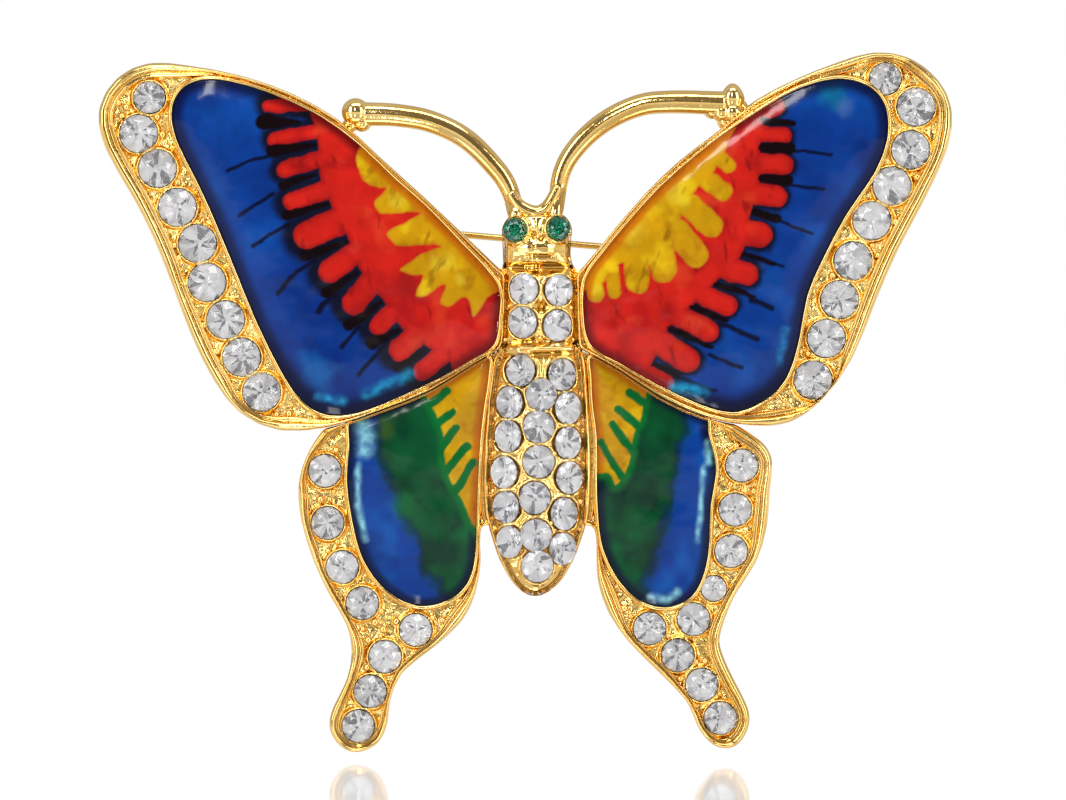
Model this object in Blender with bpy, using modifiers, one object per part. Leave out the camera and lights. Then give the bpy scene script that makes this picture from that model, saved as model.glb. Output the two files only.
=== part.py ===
"""Butterfly brooch: gold-plated casting, enamelled wings, crystal borders and a pin with a rotating catch.

Plan coordinates are (across, up) in millimetres, measured from the body's axis and the lowest tail tip.
Depth is measured from the brooch's flat back towards the viewer, so it runs along -Y.
"""
import math

import bmesh
import bpy
from mathutils import Matrix, Vector

MM = 0.001

# Whole brooch
CENTRE_ACROSS = -0.8
CENTRE_DEPTH = -0.209
GAP = 0.04
CUT_FROM = -1.0
CUT_TO = 6.0
CUT_DOME = 6.2
OUTLINE_STEPS = 2

# Depths of the four wings
FOREWING_DEPTH = 2.6
FOREWING_CELL_FLOOR = 1.0
FOREWING_TROUGH_FLOOR = 1.85
HINDWING_DEPTH = 2.0
HINDWING_CELL_FLOOR = 0.6
HINDWING_TROUGH_FLOOR = 1.35
FRAME_CHAMFER = 0.22
ENAMEL_BELOW_RIM = 0.1
ENAMEL_CHAMFER = 0.3

# Cut crystals: radius by place, proportions to the radius
FOREWING_STONE = 1.38
FOREWING_TIP_STONE = 1.15
HINDWING_STONE = 1.18
SMALL_STONE = 0.92
THORAX_STONE = 1.1
ABDOMEN_STONE = 1.1
EYE_STONE = 0.87
STONE_SIDES = 16
TABLE_RATIO = 0.56
CROWN_RATIO = 0.34
GIRDLE_RATIO = 0.1
PAVILION_RATIO = 0.84
FOREWING_GIRDLE = 2.15
HINDWING_GIRDLE = 1.62
THORAX_GIRDLE = 3.1
EYE_GIRDLE = 2.95

# Body
BODY_SIDE = 2.3
ABDOMEN_SIDE = 1.9
ABDOMEN_RIM = 2.0
POCKET_FLOOR = 1.5
PAVE_CROWN = 3.1
PAVE_GIRDLE_SINK = 0.1
PAVE_TILT = math.radians(26)

# Antennae
ANTENNA_DEPTH = 1.6
ANTENNA_ROOT = 0.55
ANTENNA_END = 0.92
HEAD_TOP = 40.55

# Pin on the back; its frame runs along the stem from the hinge, Y away from the back
HINGE_ACROSS = -15.5
STEM_HEIGHT_AT_BODY = 38.4
PIN_TILT = math.radians(4.9)
STEM_BEHIND = 2.8
STEM_RADIUS = 0.25
STEM_LENGTH = 32.0
STEM_TAPER = 6.0
KNUCKLE_RADIUS = 0.85
KNUCKLE_LENGTH = 1.4
EAR_THICKNESS = 0.6
EAR_CLEARANCE = 0.06
RIVET_RADIUS = 0.32
RIVET_HEAD_RADIUS = 0.65
RIVET_HEAD = 0.3
BASE_THICKNESS = 0.6
BASE_HALF = 1.7
BASE_MARGIN = 0.4
PIECES_SINK = 0.3
CATCH_FROM_HINGE = 30.0
SLEEVE_LENGTH = 2.4
SLEEVE_RADIUS = 1.6
SLEEVE_BORE = 1.1
SLEEVE_SLOT = 1.2
CATCH_FOOT_HALF = 1.6
CATCH_NECK_HALF = 0.9
CATCH_NECK_TOP = -0.6
ROTOR_RADIUS = 1.04
ROTOR_BORE = 0.56
ROTOR_SLOT = 0.96
FLANGE_RADIUS = 1.5
FLANGE_THICKNESS = 0.35
TAB_REACH = 2.5
TAB_WIDTH = 0.9
TAB_ROOT = 0.9
TAB_OVERHANG = 0.15
CUT_PAST = 1.0

# Outlines, each a closed loop of plan points
LEFT_FOREWING = [
    (-0.4, 34.0), (-2.7, 36.2), (-5.3, 38.7), (-8.7, 41.9), (-11.8, 44.7), (-14.8, 47.4), (-18.4, 49.4),
    (-22.2, 50.7), (-25.9, 51.4), (-28.9, 51.6), (-31.3, 50.5), (-32.7, 48.1), (-32.2, 45.2), (-30.1, 41.5),
    (-28.6, 38.5), (-27.2, 35.0), (-25.8, 31.3), (-24.1, 27.9), (-22.1, 25.4), (-19.1, 24.1), (-15.4, 24.4),
    (-11.7, 25.6), (-7.9, 27.1), (-5.0, 28.9), (-2.7, 30.2), (-0.4, 31.5),
]
LEFT_FOREWING_CELL = [
    (-2.9, 35.1), (-5.5, 38.0), (-8.3, 40.9), (-10.6, 42.9), (-13.2, 45.4), (-16.2, 47.6), (-19.9, 49.3),
    (-23.0, 50.2), (-25.0, 50.3), (-26.5, 49.6), (-27.2, 48.0), (-26.8, 45.8), (-25.4, 43.0), (-24.1, 40.2),
    (-22.4, 36.1), (-20.8, 32.2), (-18.9, 28.4), (-17.4, 26.3), (-15.6, 25.3), (-13.2, 25.5), (-10.2, 26.7),
    (-7.2, 28.1), (-4.6, 29.6), (-3.1, 30.6), (-2.8, 32.8),
]
LEFT_FOREWING_TROUGH = [
    (-26.8, 50.9), (-28.8, 50.9), (-30.4, 50.2), (-31.6, 49.0), (-31.9, 47.5), (-31.3, 45.4), (-29.6, 42.0),
    (-27.9, 37.9), (-26.1, 33.2), (-24.2, 29.2), (-22.1, 26.6), (-19.8, 25.0), (-16.8, 24.7), (-17.6, 25.9),
    (-18.9, 27.7), (-20.7, 30.4), (-22.3, 34.2), (-23.9, 38.2), (-25.3, 41.7), (-26.8, 44.6), (-27.8, 47.0),
    (-27.8, 48.9),
]
RIGHT_FOREWING = [
    (0.7, 33.5), (3.3, 36.1), (5.6, 38.9), (8.2, 41.9), (10.7, 44.3), (13.7, 46.6), (16.2, 48.7),
    (19.4, 50.4), (22.4, 51.6), (25.2, 52.4), (27.9, 52.0), (30.1, 50.3), (31.1, 48.0), (30.7, 45.0),
    (28.9, 41.1), (27.0, 37.5), (25.4, 33.8), (23.7, 29.6), (21.4, 26.4), (18.9, 24.7), (16.1, 24.5),
    (12.7, 25.1), (9.3, 26.6), (6.3, 28.6), (3.3, 30.2), (0.7, 31.3),
]
RIGHT_FOREWING_CELL = [
    (3.7, 35.4), (4.9, 37.2), (6.7, 39.4), (9.3, 42.3), (12.3, 44.9), (14.3, 46.4), (17.2, 48.3),
    (19.8, 49.7), (22.6, 50.4), (24.9, 49.8), (26.1, 48.3), (26.2, 45.9), (25.2, 43.3), (23.2, 40.4),
    (21.4, 37.0), (20.2, 34.2), (19.6, 30.9), (18.7, 28.1), (17.2, 26.5), (14.9, 25.5), (12.3, 26.1),
    (9.1, 27.6), (6.3, 29.2), (4.1, 30.5), (3.6, 32.8),
]
RIGHT_FOREWING_TROUGH = [
    (22.6, 51.1), (24.9, 51.8), (27.3, 51.4), (29.4, 49.9), (30.3, 48.0), (29.9, 45.0), (28.2, 41.2),
    (26.2, 37.5), (24.6, 33.5), (23.0, 29.8), (21.1, 27.1), (18.9, 25.3), (16.2, 25.1), (17.7, 26.0),
    (19.2, 27.8), (20.2, 30.5), (20.7, 33.4), (21.5, 36.1), (22.9, 38.8), (24.9, 41.9), (26.4, 44.5),
    (26.9, 47.2), (26.2, 49.3), (24.6, 50.6),
]
LEFT_HINDWING = [
    (-14.3, 26.4), (-16.1, 24.0), (-17.2, 22.2), (-17.8, 20.0), (-17.6, 17.4), (-16.6, 14.2), (-15.4, 11.7),
    (-14.2, 9.6), (-13.8, 7.6), (-14.2, 5.4), (-15.2, 3.4), (-15.5, 1.8), (-14.6, 0.4), (-13.3, 0.0),
    (-11.8, 0.7), (-11.1, 2.2), (-10.9, 3.9), (-10.0, 6.0), (-7.6, 7.9), (-5.5, 9.9), (-4.5, 12.0),
    (-4.1, 14.4), (-4.1, 17.0), (-2.4, 17.1), (-2.0, 20.6), (-2.0, 26.0), (-2.0, 30.0), (-5.0, 30.5),
    (-8.7, 28.6), (-11.7, 27.5),
]
LEFT_HINDWING_CELL = [
    (-13.8, 26.0), (-13.9, 23.0), (-14.1, 20.4), (-13.7, 17.4), (-12.9, 14.5), (-11.2, 12.2), (-8.8, 11.0),
    (-6.5, 11.5), (-5.1, 12.8), (-4.6, 14.8), (-4.5, 17.4), (-4.4, 20.4), (-4.2, 23.7), (-3.9, 26.2),
    (-3.6, 28.2), (-3.8, 30.4), (-7.2, 30.4), (-11.3, 28.2),
]
LEFT_HINDWING_TROUGH = [
    (-14.8, 23.4), (-16.1, 22.5), (-16.9, 21.0), (-17.1, 19.1), (-16.8, 16.6), (-15.8, 13.9), (-14.7, 11.8),
    (-13.6, 9.9), (-13.1, 7.6), (-13.5, 5.4), (-14.5, 3.3), (-14.8, 1.8), (-14.0, 0.9), (-13.2, 0.7),
    (-12.3, 1.1), (-11.7, 2.4), (-11.5, 3.9), (-10.5, 6.3), (-8.2, 8.1), (-6.4, 10.0), (-5.4, 11.4),
    (-7.2, 10.6), (-9.1, 10.4), (-11.5, 11.4), (-13.4, 13.8), (-14.3, 16.1), (-14.6, 18.1), (-14.7, 20.4),
    (-14.5, 22.3),
]
RIGHT_HINDWING = [
    (12.7, 26.4), (15.1, 24.5), (16.9, 23.3), (17.7, 21.9), (17.5, 19.6), (17.3, 17.0), (16.5, 14.3),
    (14.9, 11.8), (13.9, 9.3), (13.8, 7.8), (14.8, 5.5), (15.9, 3.3), (15.9, 1.8), (14.9, 0.4),
    (13.3, 0.5), (12.1, 1.9), (11.3, 3.8), (9.3, 5.9), (7.0, 8.2), (5.4, 10.5), (4.6, 12.9),
    (4.5, 14.8), (4.3, 17.0), (2.6, 17.1), (2.2, 20.6), (2.2, 26.0), (2.2, 30.0), (6.3, 30.1), (10.0, 27.9),
]
RIGHT_HINDWING_CELL = [
    (12.4, 26.4), (12.8, 24.0), (13.3, 22.3), (13.4, 20.8), (13.0, 18.5), (12.9, 15.8), (12.6, 13.7),
    (11.7, 11.8), (9.9, 10.9), (7.8, 11.4), (6.1, 13.1), (5.0, 15.5), (4.7, 17.8), (4.6, 20.4),
    (4.6, 23.7), (4.3, 26.0), (4.2, 28.2), (4.3, 30.4), (7.8, 30.2),
]
RIGHT_HINDWING_TROUGH = [
    (14.0, 23.8), (15.6, 23.1), (16.8, 21.9), (16.8, 19.6), (16.6, 17.0), (15.8, 14.7), (14.4, 12.2),
    (13.2, 9.8), (13.0, 7.6), (14.0, 5.2), (15.1, 3.1), (15.1, 1.9), (14.4, 1.1), (13.6, 1.1),
    (12.5, 2.0), (11.9, 3.7), (9.8, 6.1), (7.7, 8.3), (6.0, 10.6), (5.4, 12.1), (6.9, 11.2),
    (8.5, 10.4), (10.4, 10.3), (12.2, 11.1), (13.2, 13.3), (13.5, 15.9), (13.6, 18.5), (14.0, 20.6),
    (13.9, 22.3),
]

# Body sections from the abdomen's tip to the top of the head: (up, left, right, side depth, crown depth)
BODY_SECTIONS = [
    (11.7, -0.3, 0.1, 0.9, 1.2), (12.2, -0.9, 0.8, 1.4, 1.6), (13.2, -1.75, 1.75, ABDOMEN_SIDE, ABDOMEN_RIM),
    (15.0, -2.65, 2.7, ABDOMEN_SIDE, ABDOMEN_RIM), (16.9, -3.25, 3.4, ABDOMEN_SIDE, ABDOMEN_RIM),
    (20.4, -3.5, 3.6, ABDOMEN_SIDE, ABDOMEN_RIM), (23.4, -3.45, 3.6, ABDOMEN_SIDE, ABDOMEN_RIM),
    (26.4, -3.3, 3.5, ABDOMEN_SIDE, ABDOMEN_RIM), (29.5, -2.9, 3.3, ABDOMEN_SIDE, ABDOMEN_RIM),
    (29.8, -2.7, 3.2, BODY_SIDE, 3.6), (30.2, -2.6, 3.15, BODY_SIDE, 3.85),
    (30.6, -2.5, 3.1, BODY_SIDE, 3.6), (30.9, -2.4, 3.05, BODY_SIDE, 3.25),
    (33.4, -2.3, 3.0, BODY_SIDE, 3.45), (35.8, -2.25, 2.9, BODY_SIDE, 3.3),
    (36.4, -2.15, 2.6, BODY_SIDE, 3.0), (37.2, -2.2, 2.5, BODY_SIDE, 3.3),
    (38.2, -2.4, 2.6, BODY_SIDE, 3.35), (39.3, -2.5, 2.65, BODY_SIDE, 3.3),
    (40.1, -2.2, 2.4, BODY_SIDE, 3.1), (40.5, -1.8, 2.0, 2.0, 2.4),
]
PAVE_SECTIONS = [
    (12.9, -1.1, 1.1, 1.9, 2.1), (13.6, -1.6, 1.65, 1.9, 2.4), (15.2, -2.4, 2.45, 1.95, 2.8),
    (16.9, -2.9, 3.05, 2.0, 3.0), (20.4, -3.15, 3.25, 2.0, PAVE_CROWN), (23.4, -3.1, 3.25, 2.0, PAVE_CROWN),
    (26.4, -2.95, 3.15, 2.0, PAVE_CROWN), (28.6, -2.65, 3.0, 2.0, 3.0), (29.2, -2.5, 2.9, 1.95, 2.8),
]
ABDOMEN_MIDDLE = 0.1
ABDOMEN_HALF_WIDTH = 3.4

# Antenna centrelines from the head to the tip, and the knobs at their ends
LEFT_ANTENNA = [
    (-1.5, 40.3), (-1.9, 41.9), (-2.9, 43.6), (-5.2, 45.9), (-7.8, 47.2), (-10.4, 47.7), (-12.9, 47.8),
]
RIGHT_ANTENNA = [
    (1.4, 40.3), (1.9, 43.3), (3.1, 45.4), (5.1, 47.2), (7.6, 48.4), (10.0, 48.7), (14.2, 48.6),
]
LEFT_KNOB = (-13.4, 47.9, 1.0)
RIGHT_KNOB = (14.7, 49.0, 0.95)

# Stone places: (across, up)
LEFT_FOREWING_STONES = [
    (-28.9, 49.0), (-29.7, 46.3), (-28.3, 43.7), (-26.8, 40.8), (-25.3, 38.1), (-24.6, 35.2), (-23.2, 32.4),
    (-22.0, 29.6), (-20.5, 27.0),
]
RIGHT_FOREWING_STONES = [
    (26.1, 50.4), (28.4, 48.3), (28.0, 45.1), (26.6, 42.4), (25.1, 39.8), (23.7, 36.8), (22.7, 33.9),
    (21.7, 31.0), (20.7, 27.9),
]
LEFT_HINDWING_STONES = [
    (-15.8, 21.1), (-15.6, 17.2), (-14.5, 13.9), (-13.0, 11.2), (-9.0, 9.2), (-11.3, 7.2), (-12.4, 4.6),
    (-13.3, 2.0),
]
RIGHT_HINDWING_STONES = [
    (15.4, 21.5), (14.9, 18.2), (14.6, 15.1), (13.3, 12.3), (11.8, 10.0), (8.5, 9.3), (10.6, 7.3),
    (12.4, 5.1), (13.8, 2.6),
]
SMALL_HINDWING_STONE = 3
THORAX_STONES = [(-0.9, 34.7), (1.7, 34.6), (-1.0, 32.2), (1.6, 31.95)]
ABDOMEN_STONES = [
    (-1.15, 28.6), (1.95, 28.3), (0.4, 26.8), (-2.0, 26.2), (2.4, 25.8), (0.2, 24.4), (-2.1, 23.7),
    (2.4, 23.2), (0.2, 21.8), (-2.4, 21.0), (2.5, 20.6), (-0.1, 19.1), (-2.25, 18.4), (2.1, 17.9),
    (0.0, 16.3), (-2.0, 15.8), (2.0, 15.3), (0.1, 14.0),
]
EYES = [(-1.6, 39.1), (1.7, 39.2)]

# Base colour, roughness and metallic value of each material
FINISHES = {
    "gold_plate": ((0.83, 0.55, 0.20), 0.22, 1.0),
    "clear_crystal": ((0.86, 0.87, 0.90), 0.05, 0.0),
    "green_crystal": ((0.02, 0.22, 0.15), 0.05, 0.0),
    "forewing_enamel": ((0.02, 0.10, 0.45), 0.12, 0.0),
    "hindwing_enamel": ((0.01, 0.20, 0.08), 0.12, 0.0),
}


def start_scene():
    """Empties the scene and adds the two collections and the empty that carries the brooch."""
    for ob in list(bpy.data.objects):
        bpy.data.objects.remove(ob)
    collections = []
    for name in ("butterfly_brooch", "cutters"):
        collection = bpy.data.collections.new(name)
        bpy.context.scene.collection.children.link(collection)
        collections.append(collection)
    root = bpy.data.objects.new("brooch_frame", None)
    root.location = (-CENTRE_ACROSS * MM, CENTRE_DEPTH * MM, 0.0)
    collections[0].objects.link(root)
    return collections[0], collections[1], root


PARTS, CUTTERS, ROOT = start_scene()


def finish(name):
    """The named material, made on first use."""
    if name in bpy.data.materials:
        return bpy.data.materials[name]
    colour, roughness, metallic = FINISHES[name]
    material = bpy.data.materials.new(name)
    material.use_nodes = True
    shader = material.node_tree.nodes["Principled BSDF"]
    shader.inputs["Base Color"].default_value = (*colour, 1.0)
    shader.inputs["Roughness"].default_value = roughness
    shader.inputs["Metallic"].default_value = metallic
    material.diffuse_color = (*colour, 1.0)
    return material


def add_part(name, mesh, material, parent=ROOT):
    """A named sub-part with its material."""
    ob = bpy.data.objects.new(name, mesh)
    ob.data.materials.clear()
    ob.data.materials.append(finish(material))
    ob.parent = parent
    PARTS.objects.link(ob)
    return ob


def add_cutter(name, mesh, parent=ROOT):
    """A hidden solid that a Boolean modifier uses."""
    ob = bpy.data.objects.new(name, mesh)
    ob.parent = parent
    ob.hide_render = True
    ob.display_type = "WIRE"
    CUTTERS.objects.link(ob)
    return ob


def boolean(ob, operand, operation="DIFFERENCE"):
    """Cuts the operand away from a part, or joins it on."""
    modifier = ob.modifiers.new(operand.name, "BOOLEAN")
    modifier.operation = operation
    modifier.solver = "EXACT"
    modifier.object = operand


def face_viewer(ob):
    """Turns plan coordinates upright: local Y becomes up and local Z faces the viewer."""
    ob.rotation_euler = (math.radians(90), 0, 0)
    return ob


def mesh_from(bm, name):
    """Closes a bmesh into a mesh whose faces point out."""
    bmesh.ops.recalc_face_normals(bm, faces=bm.faces)
    mesh = bpy.data.meshes.new(name)
    bm.to_mesh(mesh)
    bm.free()
    return mesh


def curve_mesh(curve, weld=1e-7):
    """The closed mesh of a curve, its caps welded on."""
    holder = bpy.data.objects.new(curve.name, curve)
    PARTS.objects.link(holder)
    mesh = bpy.data.meshes.new_from_object(holder.evaluated_get(bpy.context.evaluated_depsgraph_get()))
    bm = bmesh.new()
    bm.from_mesh(mesh)
    bmesh.ops.remove_doubles(bm, verts=bm.verts, dist=weld)
    name = curve.name
    bpy.data.objects.remove(holder)
    bpy.data.curves.remove(curve)
    bpy.data.meshes.remove(mesh)
    return mesh_from(bm, name)


def smooth_loop(points, steps=OUTLINE_STEPS):
    """Points along the smooth closed curve (Catmull-Rom) that passes through an outline's points."""
    count = len(points)
    loop = []
    for i in range(count):
        a, b, c, d = (Vector(points[(i + k) % count]) for k in (-1, 0, 1, 2))
        for step in range(steps):
            t = step / steps
            loop.append(0.5 * (2 * b + (c - a) * t + (2 * a - 5 * b + 4 * c - d) * t ** 2
                               + (3 * b - a - 3 * c + d) * t ** 3))
    return loop


def grow(loop, distance):
    """The closed loop moved outwards by a distance, or inwards where it is negative."""
    count = len(loop)
    area = sum(loop[i - 1].cross(loop[i]) for i in range(count))
    side = math.copysign(1.0, area)
    grown = []
    for i in range(count):
        along = (loop[(i + 1) % count] - loop[i - 1]).normalized()
        grown.append(loop[i] + Vector((along.y, -along.x)) * side * distance)
    return grown


def plate_mesh(name, loop, back, front):
    """A flat piece with the given outline between two depths."""
    curve = bpy.data.curves.new(name, "CURVE")
    curve.dimensions = "2D"
    curve.fill_mode = "BOTH"
    curve.extrude = (front - back) / 2 * MM
    spline = curve.splines.new("POLY")
    spline.points.add(len(loop) - 1)
    for point, place in zip(spline.points, loop):
        point.co = (place.x * MM, place.y * MM, 0, 1)
    spline.use_cyclic_u = True
    mesh = curve_mesh(curve)
    mesh.transform(Matrix.Translation((0, 0, (front + back) / 2 * MM)))
    return mesh


def chamfer(ob, width):
    """Breaks a plate's square edges."""
    bevel = ob.modifiers.new("Edges", "BEVEL")
    bevel.width = width * MM
    bevel.segments = 1
    bevel.limit_method = "ANGLE"
    bevel.angle_limit = math.radians(60)


def loft_mesh(name, sections, base):
    """A domed bar along the up direction, through sections of (up, left, right, side depth, crown depth)."""
    bm = bmesh.new()
    rings = []
    for up, left, right, side, crown in sections:
        outline = [(-1, base), (1, base), (1, side)]
        for u in (0.8, 0.45, 0, -0.45, -0.8):
            outline.append((u, side + (crown - side) * math.sqrt(1 - u * u)))
        outline.append((-1, side))
        middle = (left + right) / 2
        half = (right - left) / 2
        rings.append([bm.verts.new(Vector((middle + u * half, up, depth)) * MM) for u, depth in outline])
    for lower, upper in zip(rings, rings[1:]):
        for k in range(len(lower)):
            bm.faces.new((lower[k - 1], lower[k], upper[k], upper[k - 1]))
    bm.faces.new(rings[0])
    bm.faces.new(rings[-1])
    return mesh_from(bm, name)


def hull_into(bm, points):
    """Adds the convex solid around some points to a bmesh."""
    verts = [bm.verts.new(Vector(point) * MM) for point in points]
    result = bmesh.ops.convex_hull(bm, input=verts)
    spare = result["geom_unused"] + result["geom_interior"]
    unused = [v for v in spare if isinstance(v, bmesh.types.BMVert)]
    bmesh.ops.delete(bm, geom=unused, context="VERTS")


def ring(radius, depth, sides, turn=0.0):
    """Points around a circle that faces the viewer."""
    angles = [(i + turn) * math.tau / sides for i in range(sides)]
    return [Vector((radius * math.cos(a), radius * math.sin(a), depth)) for a in angles]


def crystal_points(radius):
    """Corner points of a cut crystal: table, girdle and pointed pavilion; the girdle's base is at 0."""
    girdle = radius * GIRDLE_RATIO
    table = ring(radius * TABLE_RATIO, girdle + radius * CROWN_RATIO, STONE_SIDES // 2, 0.5)
    upper = ring(radius, girdle, STONE_SIDES)
    lower = ring(radius, 0, STONE_SIDES)
    return table + upper + lower + [Vector((0, 0, -radius * PAVILION_RATIO))]


def seat_points(radius):
    """Corner points of the seat that a crystal drops into, open to the front."""
    wide = radius + GAP
    opening = 3 * radius
    point = Vector((0, 0, -wide * PAVILION_RATIO))
    return ring(wide, opening, STONE_SIDES) + ring(wide, 0, STONE_SIDES) + [point]


def pose(across, up, depth, tilt=0.0):
    """Where a crystal sits in plan coordinates; a positive tilt turns it towards +across."""
    return Matrix.Translation((across, up, depth)) @ Matrix.Rotation(tilt, 4, "Y")


def add_crystals(prefix, places, radii, girdle, material="clear_crystal"):
    """One crystal for each place, named in order."""
    for number, (place, radius) in enumerate(zip(places, radii), start=1):
        bm = bmesh.new()
        hull_into(bm, crystal_points(radius))
        ob = add_part(f"{prefix}_{number}", mesh_from(bm, prefix), material)
        ob.location = Vector((place[0], -girdle, place[1])) * MM
        face_viewer(ob)


def seat_cutter(name, places, radii, girdle):
    """One cutter with the seats of a whole row of crystals."""
    bm = bmesh.new()
    for place, radius in zip(places, radii):
        at = pose(*place, girdle)
        hull_into(bm, [at @ point for point in seat_points(radius)])
    return face_viewer(add_cutter(name, mesh_from(bm, name)))


def plate_cutter(name, loop, back, front):
    """A flat cutter with the given outline."""
    return face_viewer(add_cutter(name, plate_mesh(name, loop, back, front)))


def widened(sections, gap):
    """Body sections with a clearance all round."""
    wide = [(up, left - gap, right + gap, CUT_TO, CUT_DOME) for up, left, right, side, crown in sections]
    wide[0] = (wide[0][0] - gap, *wide[0][1:])
    wide[-1] = (wide[-1][0] + gap, *wide[-1][1:])
    return wide


CLEARANCE_MESH = loft_mesh("body_clearance", widened(BODY_SECTIONS, GAP), CUT_FROM)
BODY_CLEARANCE = face_viewer(add_cutter("body_clearance", CLEARANCE_MESH))


def add_wing(name, outlines, depths, stones, radii, girdle, clear_of):
    """A wing's frame with its cell, stone trough and seats cut out, its enamel, and its row of crystals."""
    outline, cell, trough = (smooth_loop(points) for points in outlines)
    front, cell_floor, trough_floor = depths
    above = front + 2.0
    frame_mesh = plate_mesh(f"{name}_frame", outline, 0, front)
    frame = face_viewer(add_part(f"{name}_frame", frame_mesh, "gold_plate"))
    chamfer(frame, FRAME_CHAMFER)
    boolean(frame, plate_cutter(f"{name}_cell_cutter", cell, cell_floor, above))
    boolean(frame, plate_cutter(f"{name}_trough_cutter", trough, trough_floor, above))
    boolean(frame, seat_cutter(f"{name}_seats", stones, radii, girdle))
    enamel_mesh = plate_mesh(f"{name}_enamel", grow(cell, -GAP), cell_floor + GAP, front - ENAMEL_BELOW_RIM)
    enamel = face_viewer(add_part(f"{name}_enamel", enamel_mesh, f"{name.split('_')[1]}_enamel"))
    chamfer(enamel, ENAMEL_CHAMFER)
    for cutter in clear_of:
        boolean(frame, cutter)
        boolean(enamel, cutter)
    add_crystals(f"{name}_crystal", stones, radii, girdle)


def add_wings():
    """The two forewings, and the two hindwings that end against the forewings' lower edges."""
    fore_depths = (FOREWING_DEPTH, FOREWING_CELL_FLOOR, FOREWING_TROUGH_FLOOR)
    hind_depths = (HINDWING_DEPTH, HINDWING_CELL_FLOOR, HINDWING_TROUGH_FLOOR)
    fore_radii = [FOREWING_TIP_STONE] + [FOREWING_STONE] * 8
    left_hind_radii = [HINDWING_STONE] * len(LEFT_HINDWING_STONES)
    right_hind_radii = [HINDWING_STONE] * len(RIGHT_HINDWING_STONES)
    right_hind_radii[SMALL_HINDWING_STONE] = SMALL_STONE
    clearances = {}
    for side, outline in (("left", LEFT_FOREWING), ("right", RIGHT_FOREWING)):
        loop = grow(smooth_loop(outline), GAP)
        clearances[side] = plate_cutter(f"{side}_forewing_clearance", loop, CUT_FROM, CUT_TO)
    add_wing("left_forewing", (LEFT_FOREWING, LEFT_FOREWING_CELL, LEFT_FOREWING_TROUGH), fore_depths,
             LEFT_FOREWING_STONES, fore_radii, FOREWING_GIRDLE, [BODY_CLEARANCE])
    add_wing("right_forewing", (RIGHT_FOREWING, RIGHT_FOREWING_CELL, RIGHT_FOREWING_TROUGH), fore_depths,
             RIGHT_FOREWING_STONES, fore_radii, FOREWING_GIRDLE, [BODY_CLEARANCE])
    add_wing("left_hindwing", (LEFT_HINDWING, LEFT_HINDWING_CELL, LEFT_HINDWING_TROUGH), hind_depths,
             LEFT_HINDWING_STONES, left_hind_radii, HINDWING_GIRDLE, [BODY_CLEARANCE, clearances["left"]])
    add_wing("right_hindwing", (RIGHT_HINDWING, RIGHT_HINDWING_CELL, RIGHT_HINDWING_TROUGH), hind_depths,
             RIGHT_HINDWING_STONES, right_hind_radii, HINDWING_GIRDLE, [BODY_CLEARANCE, clearances["right"]])
    return clearances


def add_body():
    """Head, thorax and abdomen in one casting, with seats for its crystals and a pocket for the pave."""
    body = face_viewer(add_part("body_casting", loft_mesh("body_casting", BODY_SECTIONS, 0), "gold_plate"))
    pocket_mesh = loft_mesh("pave_pocket", widened(PAVE_SECTIONS, GAP), POCKET_FLOOR)
    boolean(body, face_viewer(add_cutter("pave_pocket", pocket_mesh)))
    thorax_radii = [THORAX_STONE] * len(THORAX_STONES)
    eye_radii = [EYE_STONE] * len(EYES)
    boolean(body, seat_cutter("thorax_seats", THORAX_STONES, thorax_radii, THORAX_GIRDLE))
    boolean(body, seat_cutter("eye_seats", EYES, eye_radii, EYE_GIRDLE))
    add_crystals("thorax_crystal", THORAX_STONES, thorax_radii, THORAX_GIRDLE)
    add_crystals("eye_crystal", EYES, eye_radii, EYE_GIRDLE, "green_crystal")


def add_pave():
    """The abdomen's domed bed with its eighteen crystals, which lean outwards with the dome."""
    bed = loft_mesh("abdomen_pave", PAVE_SECTIONS, POCKET_FLOOR + GAP)
    pave = face_viewer(add_part("abdomen_pave", bed, "clear_crystal"))
    bm = bmesh.new()
    for across, up in ABDOMEN_STONES:
        u = (across - ABDOMEN_MIDDLE) / ABDOMEN_HALF_WIDTH
        dome = ABDOMEN_SIDE + (PAVE_CROWN - ABDOMEN_SIDE) * math.sqrt(1 - u * u)
        at = pose(across, up, dome - PAVE_GIRDLE_SINK, PAVE_TILT * u)
        hull_into(bm, [at @ point for point in crystal_points(ABDOMEN_STONE)])
    stones = face_viewer(add_cutter("abdomen_crystals", mesh_from(bm, "abdomen_crystals")))
    boolean(pave, stones, "UNION")


def smooth_path(points, steps):
    """Points along the smooth open curve through a path's points."""
    middle = [Vector(point) for point in points]
    before = 2 * middle[0] - middle[1]
    after = 2 * middle[-1] - middle[-2]
    path = smooth_loop([before, *middle, after], steps)
    return path[steps:steps * len(points) + 1]


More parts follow.
